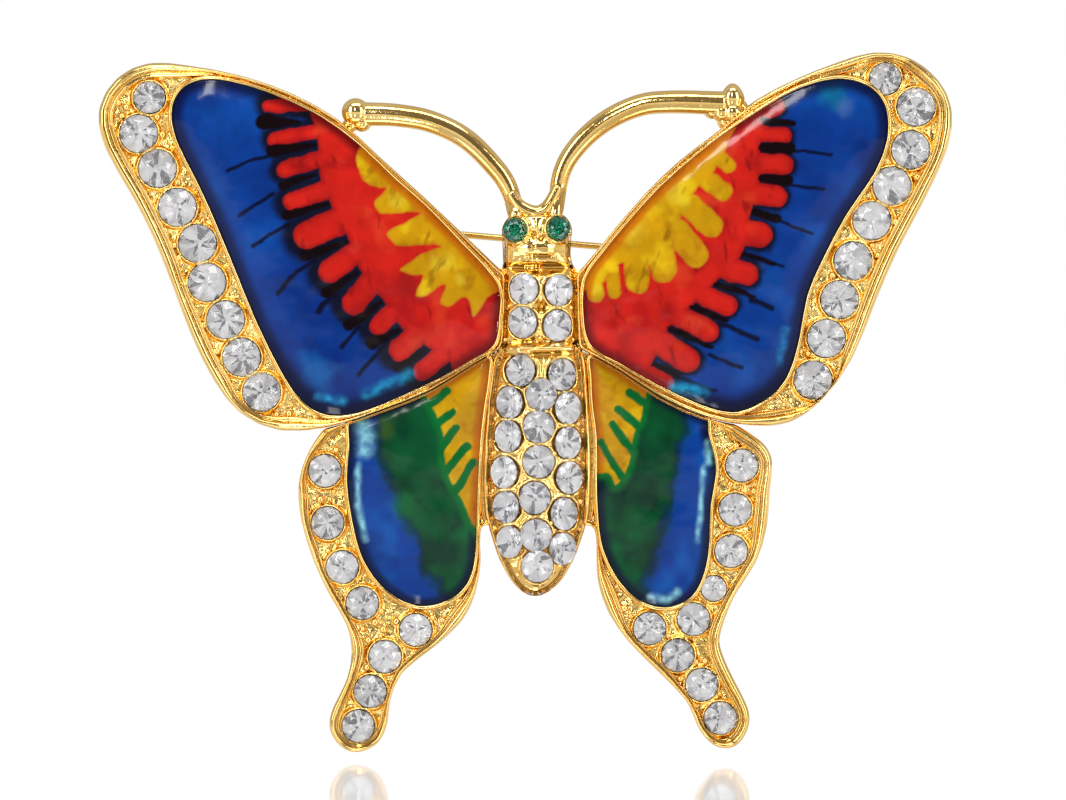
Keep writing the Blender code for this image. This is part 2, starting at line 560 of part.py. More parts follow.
def add_antenna(name, points, knob, knob_stretch, clearance):
    """A tapered round feeler with a knob that rests against the forewing's edge."""
    path = smooth_path(points, 2)
    curve = bpy.data.curves.new(name, "CURVE")
    curve.dimensions = "3D"
    curve.bevel_depth = MM
    curve.bevel_resolution = 2
    curve.use_fill_caps = True
    spline = curve.splines.new("POLY")
    spline.points.add(len(path) - 1)
    for i, (point, place) in enumerate(zip(spline.points, path)):
        point.co = (place.x * MM, place.y * MM, ANTENNA_DEPTH * MM, 1)
        point.radius = ANTENNA_ROOT + (ANTENNA_END - ANTENNA_ROOT) * math.sqrt(i / (len(path) - 1))
    antenna = face_viewer(add_part(name, curve_mesh(curve), "gold_plate"))
    across, up, radius = knob
    bm = bmesh.new()
    bmesh.ops.create_uvsphere(bm, u_segments=16, v_segments=10, radius=radius * MM)
    middle = Vector((across, up, ANTENNA_DEPTH)) * MM
    at = Matrix.Translation(middle) @ Matrix.Diagonal((1, knob_stretch, 1, 1))
    bmesh.ops.transform(bm, matrix=at, verts=bm.verts)
    boolean(antenna, face_viewer(add_cutter(f"{name}_knob", mesh_from(bm, f"{name}_knob"))), "UNION")
    head_block = [Vector((x, y, 0)) for x, y in ((-3, 36), (3.5, 36), (3.5, HEAD_TOP), (-3, HEAD_TOP))]
    boolean(antenna, plate_cutter(f"{name}_root_cutter", head_block, CUT_FROM, CUT_TO))
    boolean(antenna, clearance)


def pin_empty(name, along):
    """An empty on the stem's axis, a distance from the hinge: X along the stem, Y away from the back."""
    ob = bpy.data.objects.new(name, None)
    ob.parent = ROOT
    across = HINGE_ACROSS + along * math.cos(PIN_TILT)
    up = STEM_HEIGHT_AT_BODY - across * math.tan(PIN_TILT)
    ob.location = Vector((across, STEM_BEHIND, up)) * MM
    ob.rotation_euler = (0, PIN_TILT, 0)
    PARTS.objects.link(ob)
    return ob


def box_mesh(name, low, high):
    """A block between two corners."""
    bm = bmesh.new()
    bmesh.ops.create_cube(bm, size=1.0)
    low, high = Vector(low) * MM, Vector(high) * MM
    size = high - low
    at = Matrix.Translation((low + high) / 2) @ Matrix.Diagonal((*size, 1))
    bmesh.ops.transform(bm, matrix=at, verts=bm.verts)
    return mesh_from(bm, name)


def rod_mesh(name, radius, start, end, axis, sides=24):
    """A round bar along X or Z, centred on the pin frame's axis."""
    bm = bmesh.new()
    bmesh.ops.create_cone(bm, cap_ends=True, segments=sides, radius1=radius * MM, radius2=radius * MM,
                          depth=(end - start) * MM)
    turn = Matrix.Rotation(math.radians(90), 4, "Y") if axis == "X" else Matrix.Identity(4)
    middle = (start + end) / 2 * MM
    shift = Vector((middle, 0, 0)) if axis == "X" else Vector((0, 0, middle))
    bmesh.ops.transform(bm, matrix=Matrix.Translation(shift) @ turn, verts=bm.verts)
    return mesh_from(bm, name)


def add_hinge(hinge):
    """The bracket soldered on the left forewing's back, with its two ears, and the rivet through them."""
    inner = KNUCKLE_LENGTH / 2 + EAR_CLEARANCE
    outer = inner + EAR_THICKNESS
    foot = -STEM_BEHIND + GAP
    base_top = foot + BASE_THICKNESS
    low = (-BASE_HALF, foot, -outer - BASE_MARGIN)
    high = (BASE_HALF, base_top, outer + BASE_MARGIN)
    bracket = add_part("hinge_bracket", box_mesh("hinge_bracket", low, high), "gold_plate", hinge)
    for sign, label in ((1, "upper"), (-1, "lower")):
        near, far = sorted((sign * inner, sign * outer))
        block_low = (-KNUCKLE_RADIUS, foot + PIECES_SINK, near)
        ear_block = box_mesh(f"{label}_ear_block", block_low, (KNUCKLE_RADIUS, 0, far))
        boolean(bracket, add_cutter(f"{label}_ear_block", ear_block, hinge), "UNION")
        ear_end = rod_mesh(f"{label}_ear_end", KNUCKLE_RADIUS, near, far, "Z")
        boolean(bracket, add_cutter(f"{label}_ear_end", ear_end, hinge), "UNION")
    past = outer + CUT_PAST
    hole = add_cutter("rivet_hole", rod_mesh("rivet_hole", RIVET_RADIUS + GAP, -past, past, "Z"), hinge)
    boolean(bracket, hole)
    add_rivet(hinge, outer + GAP)
    return hole


def add_rivet(hinge, reach):
    """A turned rivet with a head at each end."""
    top = reach + RIVET_HEAD
    profile = [(0, top), (RIVET_HEAD_RADIUS * 0.7, top), (RIVET_HEAD_RADIUS, top - RIVET_HEAD * 0.5),
               (RIVET_HEAD_RADIUS, reach), (RIVET_RADIUS, reach)]
    profile += [(radius, -height) for radius, height in reversed(profile)]
    bm = bmesh.new()
    verts = [bm.verts.new(Vector((radius, 0, height)) * MM) for radius, height in profile]
    for a, b in zip(verts, verts[1:]):
        bm.edges.new((a, b))
    mesh = bpy.data.meshes.new("hinge_rivet")
    bm.to_mesh(mesh)
    bm.free()
    rivet = add_part("hinge_rivet", mesh, "gold_plate", hinge)
    screw = rivet.modifiers.new("Turn", "SCREW")
    screw.steps = 20
    screw.render_steps = 20
    screw.use_merge_vertices = True
    screw.merge_threshold = 1e-6


def add_stem(hinge, hole):
    """The pointed stem with its drilled knuckle, which swings about the rivet."""
    curve = bpy.data.curves.new("pin_stem", "CURVE")
    curve.dimensions = "3D"
    curve.bevel_depth = STEM_RADIUS * MM
    curve.bevel_resolution = 2
    curve.use_fill_caps = True
    stations = [
        (KNUCKLE_RADIUS * 0.7, 1.0), (STEM_LENGTH - STEM_TAPER, 1.0), (STEM_LENGTH - STEM_TAPER / 2, 0.85),
        (STEM_LENGTH - 1.0, 0.5), (STEM_LENGTH, 0.08),
    ]
    spline = curve.splines.new("POLY")
    spline.points.add(len(stations) - 1)
    for point, (along, radius) in zip(spline.points, stations):
        point.co = (along * MM, 0, 0, 1)
        point.radius = radius
    stem = add_part("pin_stem", curve_mesh(curve), "gold_plate", hinge)
    half = KNUCKLE_LENGTH / 2
    knuckle = add_cutter("knuckle", rod_mesh("knuckle", KNUCKLE_RADIUS, -half, half, "Z"), hinge)
    boolean(stem, knuckle, "UNION")
    boolean(stem, hole)


def add_catch(catch):
    """The slotted sleeve on its foot, soldered on the right forewing's back."""
    half = SLEEVE_LENGTH / 2
    foot = -STEM_BEHIND + GAP
    past = half + CUT_PAST
    foot_high = (half, foot + BASE_THICKNESS, CATCH_FOOT_HALF)
    foot_mesh = box_mesh("catch_body", (-half, foot, -CATCH_FOOT_HALF), foot_high)
    body = add_part("catch_body", foot_mesh, "gold_plate", catch)
    neck_low = (-half, foot + PIECES_SINK, -CATCH_NECK_HALF)
    neck_mesh = box_mesh("catch_neck", neck_low, (half, CATCH_NECK_TOP, CATCH_NECK_HALF))
    neck = add_cutter("catch_neck", neck_mesh, catch)
    sleeve = add_cutter("catch_sleeve", rod_mesh("catch_sleeve", SLEEVE_RADIUS, -half, half, "X"), catch)
    bore = add_cutter("catch_bore", rod_mesh("catch_bore", SLEEVE_BORE, -past, past, "X"), catch)
    slot_high = (past, SLEEVE_RADIUS + CUT_PAST, SLEEVE_SLOT / 2)
    slot_mesh = box_mesh("catch_slot", (-past, 0, -SLEEVE_SLOT / 2), slot_high)
    slot = add_cutter("catch_slot", slot_mesh, catch)
    boolean(body, neck, "UNION")
    boolean(body, sleeve, "UNION")
    boolean(body, bore)
    boolean(body, slot)


def add_rotor(catch):
    """The split tube that turns in the sleeve to lock the stem, with end flanges and a thumb tab."""
    half = SLEEVE_LENGTH / 2 + GAP
    end = half + FLANGE_THICKNESS
    rotor_mesh = rod_mesh("catch_rotor", ROTOR_RADIUS, -end, end, "X")
    rotor = add_part("catch_rotor", rotor_mesh, "gold_plate", catch)
    for label, start in (("near", -end), ("far", half)):
        flange_mesh = rod_mesh(f"{label}_flange", FLANGE_RADIUS, start, start + FLANGE_THICKNESS, "X")
        boolean(rotor, add_cutter(f"{label}_flange", flange_mesh, catch), "UNION")
    tab_low = (half, -TAB_WIDTH / 2, -TAB_REACH)
    tab_high = (end + TAB_OVERHANG, TAB_WIDTH / 2, -TAB_ROOT)
    tab = add_cutter("rotor_tab", box_mesh("rotor_tab", tab_low, tab_high), catch)
    past = end + CUT_PAST
    bore = add_cutter("rotor_bore", rod_mesh("rotor_bore", ROTOR_BORE, -past, past, "X"), catch)
    slot_high = (past, FLANGE_RADIUS + CUT_PAST, ROTOR_SLOT / 2)
    slot_mesh = box_mesh("rotor_slot", (-past, 0, -ROTOR_SLOT / 2), slot_high)
    slot = add_cutter("rotor_slot", slot_mesh, catch)
    boolean(rotor, tab, "UNION")
    boolean(rotor, bore)
    boolean(rotor, slot)


WING_CLEARANCES = add_wings()
add_body()
add_pave()
add_antenna("left_antenna", LEFT_ANTENNA, LEFT_KNOB, 1.0, WING_CLEARANCES["left"])
add_antenna("right_antenna", RIGHT_ANTENNA, RIGHT_KNOB, 1.15, WING_CLEARANCES["right"])
HINGE = pin_empty("hinge_axis", 0.0)
CATCH = pin_empty("catch_axis", CATCH_FROM_HINGE)
RIVET_HOLE = add_hinge(HINGE)
add_stem(HINGE, RIVET_HOLE)
add_catch(CATCH)
add_rotor(CATCH)
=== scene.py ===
"""Looks of the butterfly brooch: gold-plated casting, painted enamel under clear glaze, cut crystals.

Lengths are in millimetres until a mesh is made. Plan points are (across, up) and depth runs from the
brooch's flat back towards the viewer.
"""

import math

import bmesh
import bpy
import numpy as np
from mathutils import Matrix, Vector
from mathutils.kdtree import KDTree


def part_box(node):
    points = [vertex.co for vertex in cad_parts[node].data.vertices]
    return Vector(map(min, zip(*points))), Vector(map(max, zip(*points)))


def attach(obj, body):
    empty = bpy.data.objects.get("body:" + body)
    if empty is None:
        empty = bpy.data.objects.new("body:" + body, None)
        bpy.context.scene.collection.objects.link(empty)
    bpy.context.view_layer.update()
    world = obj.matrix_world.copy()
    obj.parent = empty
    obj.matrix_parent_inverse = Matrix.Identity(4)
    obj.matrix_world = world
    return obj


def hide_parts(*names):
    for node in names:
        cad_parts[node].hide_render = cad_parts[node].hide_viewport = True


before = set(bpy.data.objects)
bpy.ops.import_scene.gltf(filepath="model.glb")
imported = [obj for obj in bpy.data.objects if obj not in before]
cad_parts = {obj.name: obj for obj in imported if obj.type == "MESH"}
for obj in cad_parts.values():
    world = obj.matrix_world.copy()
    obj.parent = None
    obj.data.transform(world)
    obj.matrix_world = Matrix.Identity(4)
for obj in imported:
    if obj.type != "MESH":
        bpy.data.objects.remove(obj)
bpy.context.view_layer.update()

MM = 0.001
SHIFT_ACROSS = 0.8
BACK = -0.209
STEP = 0.1
BED_GRID, BODY_GRID, ENAMEL_GRID = 0.09, 0.07, 0.085

ANTENNA_PATHS = {
    "left": [(-1.5, 40.0), (-1.9, 41.9), (-2.9, 43.6), (-5.2, 45.9), (-7.8, 47.2), (-10.4, 47.7),
             (-12.9, 47.8)],
    "right": [(1.4, 40.0), (1.9, 43.3), (3.1, 45.4), (5.1, 47.2), (7.6, 48.4), (10.0, 48.7), (14.2, 48.6)],
}
SOLDER = {
    "left": [(-13.0, 47.2, 1.5, 0.75), (-13.9, 47.0, 1.4, 0.6), (-12.4, 47.4, 1.5, 0.5)],
    "right": [(13.9, 48.0, 1.5, 0.85), (14.7, 47.9, 1.5, 0.9), (13.2, 48.1, 1.4, 0.7),
              (15.3, 48.3, 1.3, 0.6), (14.2, 47.3, 1.3, 0.7)],
}
WEB_DEPTH = 2.25
KNOBS = {"left": (-13.5, 47.95, 1.05, 1.0), "right": (14.7, 49.0, 0.92, 1.2)}
THORAX = [(-0.9, 34.7), (1.7, 34.6), (-1.0, 32.2), (1.6, 31.95)]
EYES = [(-1.6, 39.1), (1.7, 39.2)]
ABDOMEN = [
    (-1.15, 28.6), (1.95, 28.3), (0.4, 26.8), (-2.0, 26.2), (2.4, 25.8), (0.2, 24.4), (-2.1, 23.7),
    (2.4, 23.2), (0.2, 21.8), (-2.4, 21.0), (2.5, 20.6), (-0.1, 19.1), (-2.25, 18.4), (2.1, 17.9),
    (0.0, 16.3), (-2.0, 15.8), (2.0, 15.3), (0.1, 14.0),
]
WINGS = {
    "left_forewing": dict(kind="forewing", stones=9),
    "right_forewing": dict(kind="forewing", stones=9),
    "left_hindwing": dict(kind="hindwing", stones=8),
    "right_hindwing": dict(kind="hindwing", stones=9),
}
DROP = {"forewing": 0.0, "hindwing": 0.6}
GIRDLE = {"forewing": 2.15, "hindwing": 1.62}


# ---------------------------------------------------------------- numbers over the plan

def lattice(ix, iy, seed):
    """Repeatable random values in 0..1 at whole-number places."""
    n = (ix.astype(np.int64) * 374761393 + iy.astype(np.int64) * 668265263 + seed * 974634777) & 0xFFFFFFFF
    n = ((n ^ (n >> 13)) * 1274126177) & 0xFFFFFFFF
    return ((n ^ (n >> 16)) & 0xFFFF) / 65535.0


def noise(x, y, scale, seed=0, octaves=3):
    """Smooth noise around 0 over the plan, about -1 to 1, whose largest features span the scale."""
    total = np.zeros_like(x)
    weight = 1.0
    for k in range(octaves):
        u = x / scale * 2 ** k
        v = y / scale * 2 ** k
        iu, iv = np.floor(u), np.floor(v)
        fu, fv = u - iu, v - iv
        fu, fv = fu * fu * (3 - 2 * fu), fv * fv * (3 - 2 * fv)
        a = lattice(iu, iv, seed + k)
        b = lattice(iu + 1, iv, seed + k)
        c = lattice(iu, iv + 1, seed + k)
        d = lattice(iu + 1, iv + 1, seed + k)
        total = total + weight * (2 * ((a * (1 - fu) + b * fu) * (1 - fv) + (c * (1 - fu) + d * fu) * fv) - 1)
        weight *= 0.5
    return total


def step(low, high, value):
    """0 below low, 1 above high, smooth between; low may exceed high to turn it round."""
    t = np.clip((value - low) / (high - low), 0, 1)
    return t * t * (3 - 2 * t)


def resample(loop, spacing):
    """Evenly spaced points around a closed loop."""
    closed = np.vstack([loop, loop[:1]])
    length = np.concatenate([[0], np.cumsum(np.linalg.norm(np.diff(closed, axis=0), axis=1))])
    count = max(12, int(round(length[-1] / spacing)))
    t = np.linspace(0, length[-1], count, endpoint=False)
    return np.stack([np.interp(t, length, closed[:, k]) for k in (0, 1)], 1)


def soften(loop, width):
    """A closed loop with its corners eased by a circular blur."""
    reach = int(math.ceil(3 * width / STEP))
    offsets = np.arange(-reach, reach + 1)
    kernel = np.exp(-0.5 * (offsets * STEP / width) ** 2)
    kernel /= kernel.sum()
    return sum(k * np.roll(loop, -o, axis=0) for k, o in zip(kernel, offsets))


def area(loop):
    """Signed area of a loop, positive when it runs anticlockwise."""
    x, y = loop[:, 0], loop[:, 1]
    return 0.5 * float(np.sum(x * np.roll(y, -1) - np.roll(x, -1) * y))


def inward(loop):
    """Unit vectors at each point of an anticlockwise loop that point to its inside."""
    along = np.roll(loop, -2, axis=0) - np.roll(loop, 2, axis=0)
    along /= np.linalg.norm(along, axis=1, keepdims=True) + 1e-12
    return np.stack([-along[:, 1], along[:, 0]], 1)


def distance(points, line):
    """Distance from each point to an open line of points."""
    a, b = line[:-1], line[1:]
    best = np.full(len(points), 1e9)
    for start in range(0, len(a), 64):
        p, q = a[start:start + 64], b[start:start + 64]
        d = q - p
        t = ((points[:, None] - p) * d).sum(2) / ((d * d).sum(1) + 1e-12)
        near = p + np.clip(t, 0, 1)[..., None] * d
        best = np.minimum(best, np.linalg.norm(points[:, None] - near, axis=2).min(1))
    return best


def signed(points, loop):
    """Distance to an anticlockwise loop, positive inside it."""
    dense = resample(loop, 0.03)
    normal = inward(dense)
    tree = KDTree(len(dense))
    for i, (x, y) in enumerate(dense.tolist()):
        tree.insert((x, y, 0), i)
    tree.balance()
    found = [tree.find((x, y, 0))[1:] for x, y in points.tolist()]
    index = np.array([f[0] for f in found])
    away = np.array([f[1] for f in found])
    side = ((points - dense[index]) * normal[index]).sum(1)
    return np.where(side >= 0, away, -away)


# ---------------------------------------------------------------- meshes

def place(points):
    """Plan points with depth, as frame coordinates in metres."""
    points = np.asarray(points, float)
    return np.stack([points[:, 0] + SHIFT_ACROSS, BACK - points[:, 2], points[:, 1]], 1) * MM


def piece(name, points, faces, material, body="brooch", replaced=(), finish="gold_plate", colours=None,
          smooth=True, materials=None, in_frame=False):
    """A mesh in the frame that rides on a body and stands for CAD nodes."""
    mesh = bpy.data.meshes.new(name)
    mesh.from_pydata((points if in_frame else place(points)).tolist(), [], faces)
    mesh.update()
    bm = bmesh.new()
    bm.from_mesh(mesh)
    bmesh.ops.recalc_face_normals(bm, faces=bm.faces)
    bm.to_mesh(mesh)
    bm.free()
    for face in mesh.polygons:
        face.use_smooth = smooth
    mesh.materials.append(material)
    for extra, faces_of in (materials or []):
        mesh.materials.append(extra)
        for index in faces_of:
            mesh.polygons[index].material_index = len(mesh.materials) - 1
    if colours is not None:
        layer = mesh.color_attributes.new("Paint", "FLOAT_COLOR", "POINT")
        rgba = np.ones((len(colours), 4), np.float32)
        rgba[:, :3] = colours
        layer.data.foreach_set("color", rgba.ravel())
    ob = bpy.data.objects.new(name, mesh)
    bpy.context.scene.collection.objects.link(ob)
    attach(ob, body)
    if replaced:
        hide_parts(*replaced)
    return ob


def sweep(loop, profile, scale=None, taper=None):
    """Points and faces of a profile of (inward, depth) pairs carried round a closed loop."""
    normal = inward(loop)
    count = len(loop)
    rows = []
    for s, depth in profile:
        reach = s if scale is None else s * scale
        offset = loop + normal * (np.full(count, reach)[:, None] if np.isscalar(reach) else reach[:, None])
        d = np.full(count, depth) if taper is None else taper(offset, depth)
        rows.append(np.column_stack([offset, d]))
    points = np.vstack(rows)
    faces = []
    for r in range(len(profile) - 1):
        for i in range(count):
            j = (i + 1) % count
            faces.append((r * count + i, r * count + j, (r + 1) * count + j, (r + 1) * count + i))
    return points, faces


def relief(loop, height, spacing, extend, hole=None):
    """A grid surface over a loop's inside, out to a little beyond it, whose depth comes from a function."""
    low, high = loop.min(0) - 0.5, loop.max(0) + 0.5
    xs = np.arange(low[0], high[0], spacing)
    ys = np.arange(low[1], high[1], spacing)
    gx, gy = np.meshgrid(xs, ys)
    flat = np.column_stack([gx.ravel(), gy.ravel()])
    edge = signed(flat, loop)
    keep = edge > -extend
    if hole is not None:
        keep &= hole(flat)
    kept = keep.reshape(gx.shape)
    cell = kept[:-1, :-1] & kept[1:, :-1] & kept[:-1, 1:] & kept[1:, 1:]
    index = np.arange(gx.size).reshape(gx.shape)
    quads = np.stack([index[:-1, :-1][cell], index[:-1, 1:][cell], index[1:, 1:][cell],
                      index[1:, :-1][cell]], 1)
    used = np.unique(quads)
    remap = np.full(gx.size, -1)
    remap[used] = np.arange(len(used))
    plan = flat[used]
    points = np.column_stack([plan, height(plan, edge[used])])
    return points, remap[quads].tolist(), plan, edge[used]


def plain_back(loop, level, scale, seed, spacing):
    """The nearly flat back inside a loop."""
    points, faces, _, _ = relief(loop, lambda p, e: level + 0.02 * noise(p[:, 0], p[:, 1], scale, seed),
                                 spacing, extend=-0.1)
    return points, faces


def off_seats(plan, seats):
    """Which plan points lie outside round seats, each (across, up, radius)."""
    open_seat = np.zeros(len(plan), bool)
    for cx, cy, r in seats:
        open_seat |= np.hypot(plan[:, 0] - cx, plan[:, 1] - cy) < r
    return ~open_seat


def joined(*meshes):
    """Several (points, faces) pairs as one."""
    points, faces, start = [], [], 0
    for pts, fcs in meshes:
        points.append(np.asarray(pts, float))
        faces += [tuple(int(i) + start for i in face) for face in fcs]
        start += len(pts)
    return np.vstack(points), faces


def bead(across, up, depth, radius, rings=5, sides=10):
    """A small ball in plan coordinates."""
    points, faces = [(across, up, depth + radius)], []
    for r in range(1, rings):
        a = math.pi * r / rings
        for s in range(sides):
            b = math.tau * s / sides
            points.append((across + radius * math.sin(a) * math.cos(b),
                           up + radius * math.sin(a) * math.sin(b),
                           depth + radius * math.cos(a)))
    points.append((across, up, depth - radius))
    for s in range(sides):
        t = (s + 1) % sides
        faces.append((0, 1 + s, 1 + t))
        for r in range(rings - 2):
            a, b = 1 + r * sides, 1 + (r + 1) * sides
            faces.append((a + s, b + s, b + t, a + t))
        faces.append((len(points) - 1, 1 + (rings - 2) * sides + t, 1 + (rings - 2) * sides + s))
    return points, faces


def tube(path, radii, sides, squash=1.0):
    """A round bar along a path of frame points in millimetres."""
    path = np.asarray(path, float)
    along = np.gradient(path, axis=0)
    along /= np.linalg.norm(along, axis=1, keepdims=True)
    points, faces = [], []
    for p, t, r in zip(path, along, radii):
        side = np.cross(t, (0, 1, 0))
        side /= np.linalg.norm(side)
        front = np.cross(side, t)
        for s in range(sides):
            a = math.tau * s / sides
            points.append(p + r * math.cos(a) * side + r * squash * math.sin(a) * front)
    for k in range(len(path) - 1):
        for s in range(sides):
            t = (s + 1) % sides
            faces.append((k * sides + s, k * sides + t, (k + 1) * sides + t, (k + 1) * sides + s))
    faces.append(tuple(range(sides)))
    faces.append(tuple((len(path) - 1) * sides + s for s in range(sides)))
    return points, faces


def spline(points, steps):
    """Points along the smooth open curve through a path's points."""
    pts = [np.array(p, float) for p in points]
    pts = [2 * pts[0] - pts[1], *pts, 2 * pts[-1] - pts[-2]]
    out = []
    for i in range(1, len(pts) - 2):
        a, b, c, d = pts[i - 1:i + 3]
        for k in range(steps):
            t = k / steps
            out.append(0.5 * (2 * b + (c - a) * t + (2 * a - 5 * b + 4 * c - d) * t ** 2
                              + (3 * b - a - 3 * c + d) * t ** 3))
    out.append(pts[-2])
    return np.array(out)


# ---------------------------------------------------------------- outlines of the solids

def slice_loops(node, depth):
    """Closed plan loops where a CAD node's surface crosses a depth, largest first, anticlockwise."""
    bm = bmesh.new()
    bm.from_mesh(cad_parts[node].data)
    bmesh.ops.remove_doubles(bm, verts=bm.verts, dist=1e-6)
    cut = bmesh.ops.bisect_plane(bm, geom=bm.verts[:] + bm.edges[:] + bm.faces[:], dist=1e-8,
                                 plane_co=(0, (BACK - depth) * MM, 0), plane_no=(0, 1, 0))
    links = {}
    for e in cut["geom_cut"]:
        if isinstance(e, bmesh.types.BMEdge):
            a, b = e.verts
            links.setdefault(a, []).append(b)
            links.setdefault(b, []).append(a)
    loops, seen = [], set()
    for start in links:
        if start in seen:
            continue
        chain, here, before = [], start, None
        while here is not None and here not in seen:
            seen.add(here)
            chain.append((here.co.x / MM - SHIFT_ACROSS, here.co.z / MM))
            onward = [v for v in links[here] if v is not before and v not in seen]
            before, here = here, (onward[0] if onward else None)
        if len(chain) > 6:
            loop = np.array(chain)
            loops.append(loop if area(loop) > 0 else loop[::-1])
    bm.free()
    return sorted(loops, key=lambda loop: -abs(area(loop)))


def stone_place(node):
    """Plan centre of a crystal node."""
    low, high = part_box(node)
    middle = (low + high) / 2 / MM
    return middle.x - SHIFT_ACROSS, middle.z


# ---------------------------------------------------------------- materials

def make_material(name, build):
    """A material whose nodes a function adds; the function gets (tree, principled shader)."""
    material = bpy.data.materials.new(name)
    material.use_nodes = True
    tree = material.node_tree
    build(tree, tree.nodes["Principled BSDF"])
    return material


def node(tree, kind, **settings):
    """A shader node with its settings and inputs."""
    made = tree.nodes.new(kind)
    for key, value in settings.items():
        if key in made.inputs:
            made.inputs[key].default_value = value
        else:
            setattr(made, key, value)
    return made


def put(made, *values):
    """Sets a shader node's inputs from (name, value) pairs."""
    for name, value in values:
        made.inputs[name].default_value = value


def ramp(tree, stops):
    """A colour ramp with the given (position, colour) stops."""
    made = tree.nodes.new("ShaderNodeValToRGB")
    elements = made.color_ramp.elements
    elements[0].position, elements[0].color = stops[0][0], (*stops[0][1], 1)
    elements[1].position, elements[1].color = stops[-1][0], (*stops[-1][1], 1)
    for position, colour in stops[1:-1]:
        elements.new(position).color = (*colour, 1)
    return made


def object_noise(tree, **settings):
    """Noise over the object's own coordinates."""
    where = node(tree, "ShaderNodeTexCoord")
    made = node(tree, "ShaderNodeTexNoise", **settings)
    tree.links.new(where.outputs["Object"], made.inputs["Vector"])
    return made


def shaded(tree, source, stops):
    """The colour that a noise picks from a ramp's stops."""
    made = ramp(tree, stops)
    tree.links.new(source.outputs["Fac"], made.inputs["Fac"])
    return made.outputs["Color"]


def linear(code):
    """A colour in linear light from its sRGB hex code."""
    values = [int(code[k:k + 2], 16) / 255 for k in (0, 2, 4)]
    return tuple(v / 12.92 if v <= 0.04045 else ((v + 0.055) / 1.055) ** 2.4 for v in values)


def gold(name, deep, light, rough, bumps, scale):
    """Bright gold plate: slight colour change, fine pits and waves in the polish."""
    def build(tree, shader):
        link = tree.links.new
        cloud = object_noise(tree, Scale=scale, Detail=4.0, Roughness=0.55)
        fine = object_noise(tree, Scale=scale * 7, Detail=3.0)
        link(shaded(tree, cloud, [(0.3, deep), (0.7, light)]), shader.inputs["Base Color"])
        spread = node(tree, "ShaderNodeMapRange")
        put(spread, ("To Min", rough * 0.7), ("To Max", rough * 1.5))
        link(fine.outputs["Fac"], spread.inputs["Value"])
        link(spread.outputs["Result"], shader.inputs["Roughness"])
        bump = node(tree, "ShaderNodeBump", Strength=bumps, Distance=0.0002)
        blend = node(tree, "ShaderNodeMath", operation="ADD")
        link(cloud.outputs["Fac"], blend.inputs[0])
        link(fine.outputs["Fac"], blend.inputs[1])
        link(blend.outputs[0], bump.inputs["Height"])
        link(bump.outputs["Normal"], shader.inputs["Normal"])
        shader.inputs["Metallic"].default_value = 1.0
    return make_material(name, build)


def enamel(name):
    """Translucent paint over foil under a clear glaze; the paint is the mesh's own."""
    def build(tree, shader):
        link = tree.links.new
        paint = node(tree, "ShaderNodeVertexColor", layer_name="Paint")
        cloud = object_noise(tree, Scale=420.0, Detail=5.0, Roughness=0.6)
        shade = shaded(tree, cloud, [(0.25, (0.72, 0.72, 0.72)), (0.75, (1.15, 1.15, 1.15))])
        mix = node(tree, "ShaderNodeMix", data_type="RGBA", blend_type="MULTIPLY")
        mix.inputs[0].default_value = 1.0
        link(paint.outputs["Color"], mix.inputs[6])
        link(shade, mix.inputs[7])
        link(mix.outputs[2], shader.inputs["Base Color"])
        wave = object_noise(tree, Scale=160.0, Detail=2.0)
        bump = node(tree, "ShaderNodeBump", Strength=0.10, Distance=0.0006)
        link(wave.outputs["Fac"], bump.inputs["Height"])
        link(bump.outputs["Normal"], shader.inputs["Coat Normal"])
        put(shader, ("Metallic", 0.25), ("Specular IOR Level", 0.0), ("Roughness", 0.42),
                    ("Coat Weight", 0.4), ("Coat Roughness", 0.09))
    return make_material(name, build)


def crystal(name, tint, clarity):
    """Cut glass crown: clear, faintly clouded, with a bright polish."""
    def build(tree, shader):
        link = tree.links.new
        stops = [(0.3, tuple(0.94 * c for c in tint)), (0.7, tint)]
        shade = shaded(tree, object_noise(tree, Scale=900.0, Detail=2.0), stops)
        link(shade, shader.inputs["Base Color"])
        put(shader, ("Transmission Weight", clarity), ("Roughness", 0.015), ("IOR", 1.6))
    return make_material(name, build)


def foil_back(name, light, dark):
    """Foil behind a crystal, in one tone of a set whose bright, mid and dark copies are painted light and
    shade on the facets.
    """
    def build(tree, shader):
        link = tree.links.new
        shade = shaded(tree, object_noise(tree, Scale=700.0, Detail=2.0), [(0.35, dark), (0.65, light)])
        link(shade, shader.inputs["Base Color"])
        put(shader, ("Metallic", 0.4), ("Roughness", 0.08))
    return make_material(name, build)


GOLD = gold("gold_polished", (0.79, 0.49, 0.13), (0.89, 0.62, 0.24), 0.10, 0.08, 260.0)
GOLD_BED = gold("gold_textured", (0.82, 0.52, 0.13), (0.96, 0.70, 0.27), 0.14, 0.25, 700.0)
GOLD_BACK = gold("gold_back", (0.72, 0.44, 0.12), (0.86, 0.59, 0.22), 0.2, 0.3, 420.0)
ENAMEL = {kind: enamel(f"{kind}_enamel_glazed") for kind in ("forewing", "hindwing")}
GLASS = crystal("clear_glass", (1.0, 1.0, 1.0), 0.88)
# Lit, half-shaded and shaded copies of one foil: painted light and shade for the pavilion facets, picked at
# random in these shares.
FOIL_PAINTED_SHADES = [foil_back("crystal_foil_painted_lit", (1.0, 1.0, 1.0), (0.93, 0.93, 0.95)),
        foil_back("crystal_foil_painted_half_shade", (0.72, 0.72, 0.76), (0.60, 0.60, 0.64)),
        foil_back("crystal_foil_painted_shade", (0.16, 0.16, 0.19), (0.07, 0.07, 0.09))]
PAINTED_SHADE_SHARES = [0.66, 0.16, 0.18]
EMERALD = crystal("green_glass", (0.10, 0.62, 0.45), 1.0)
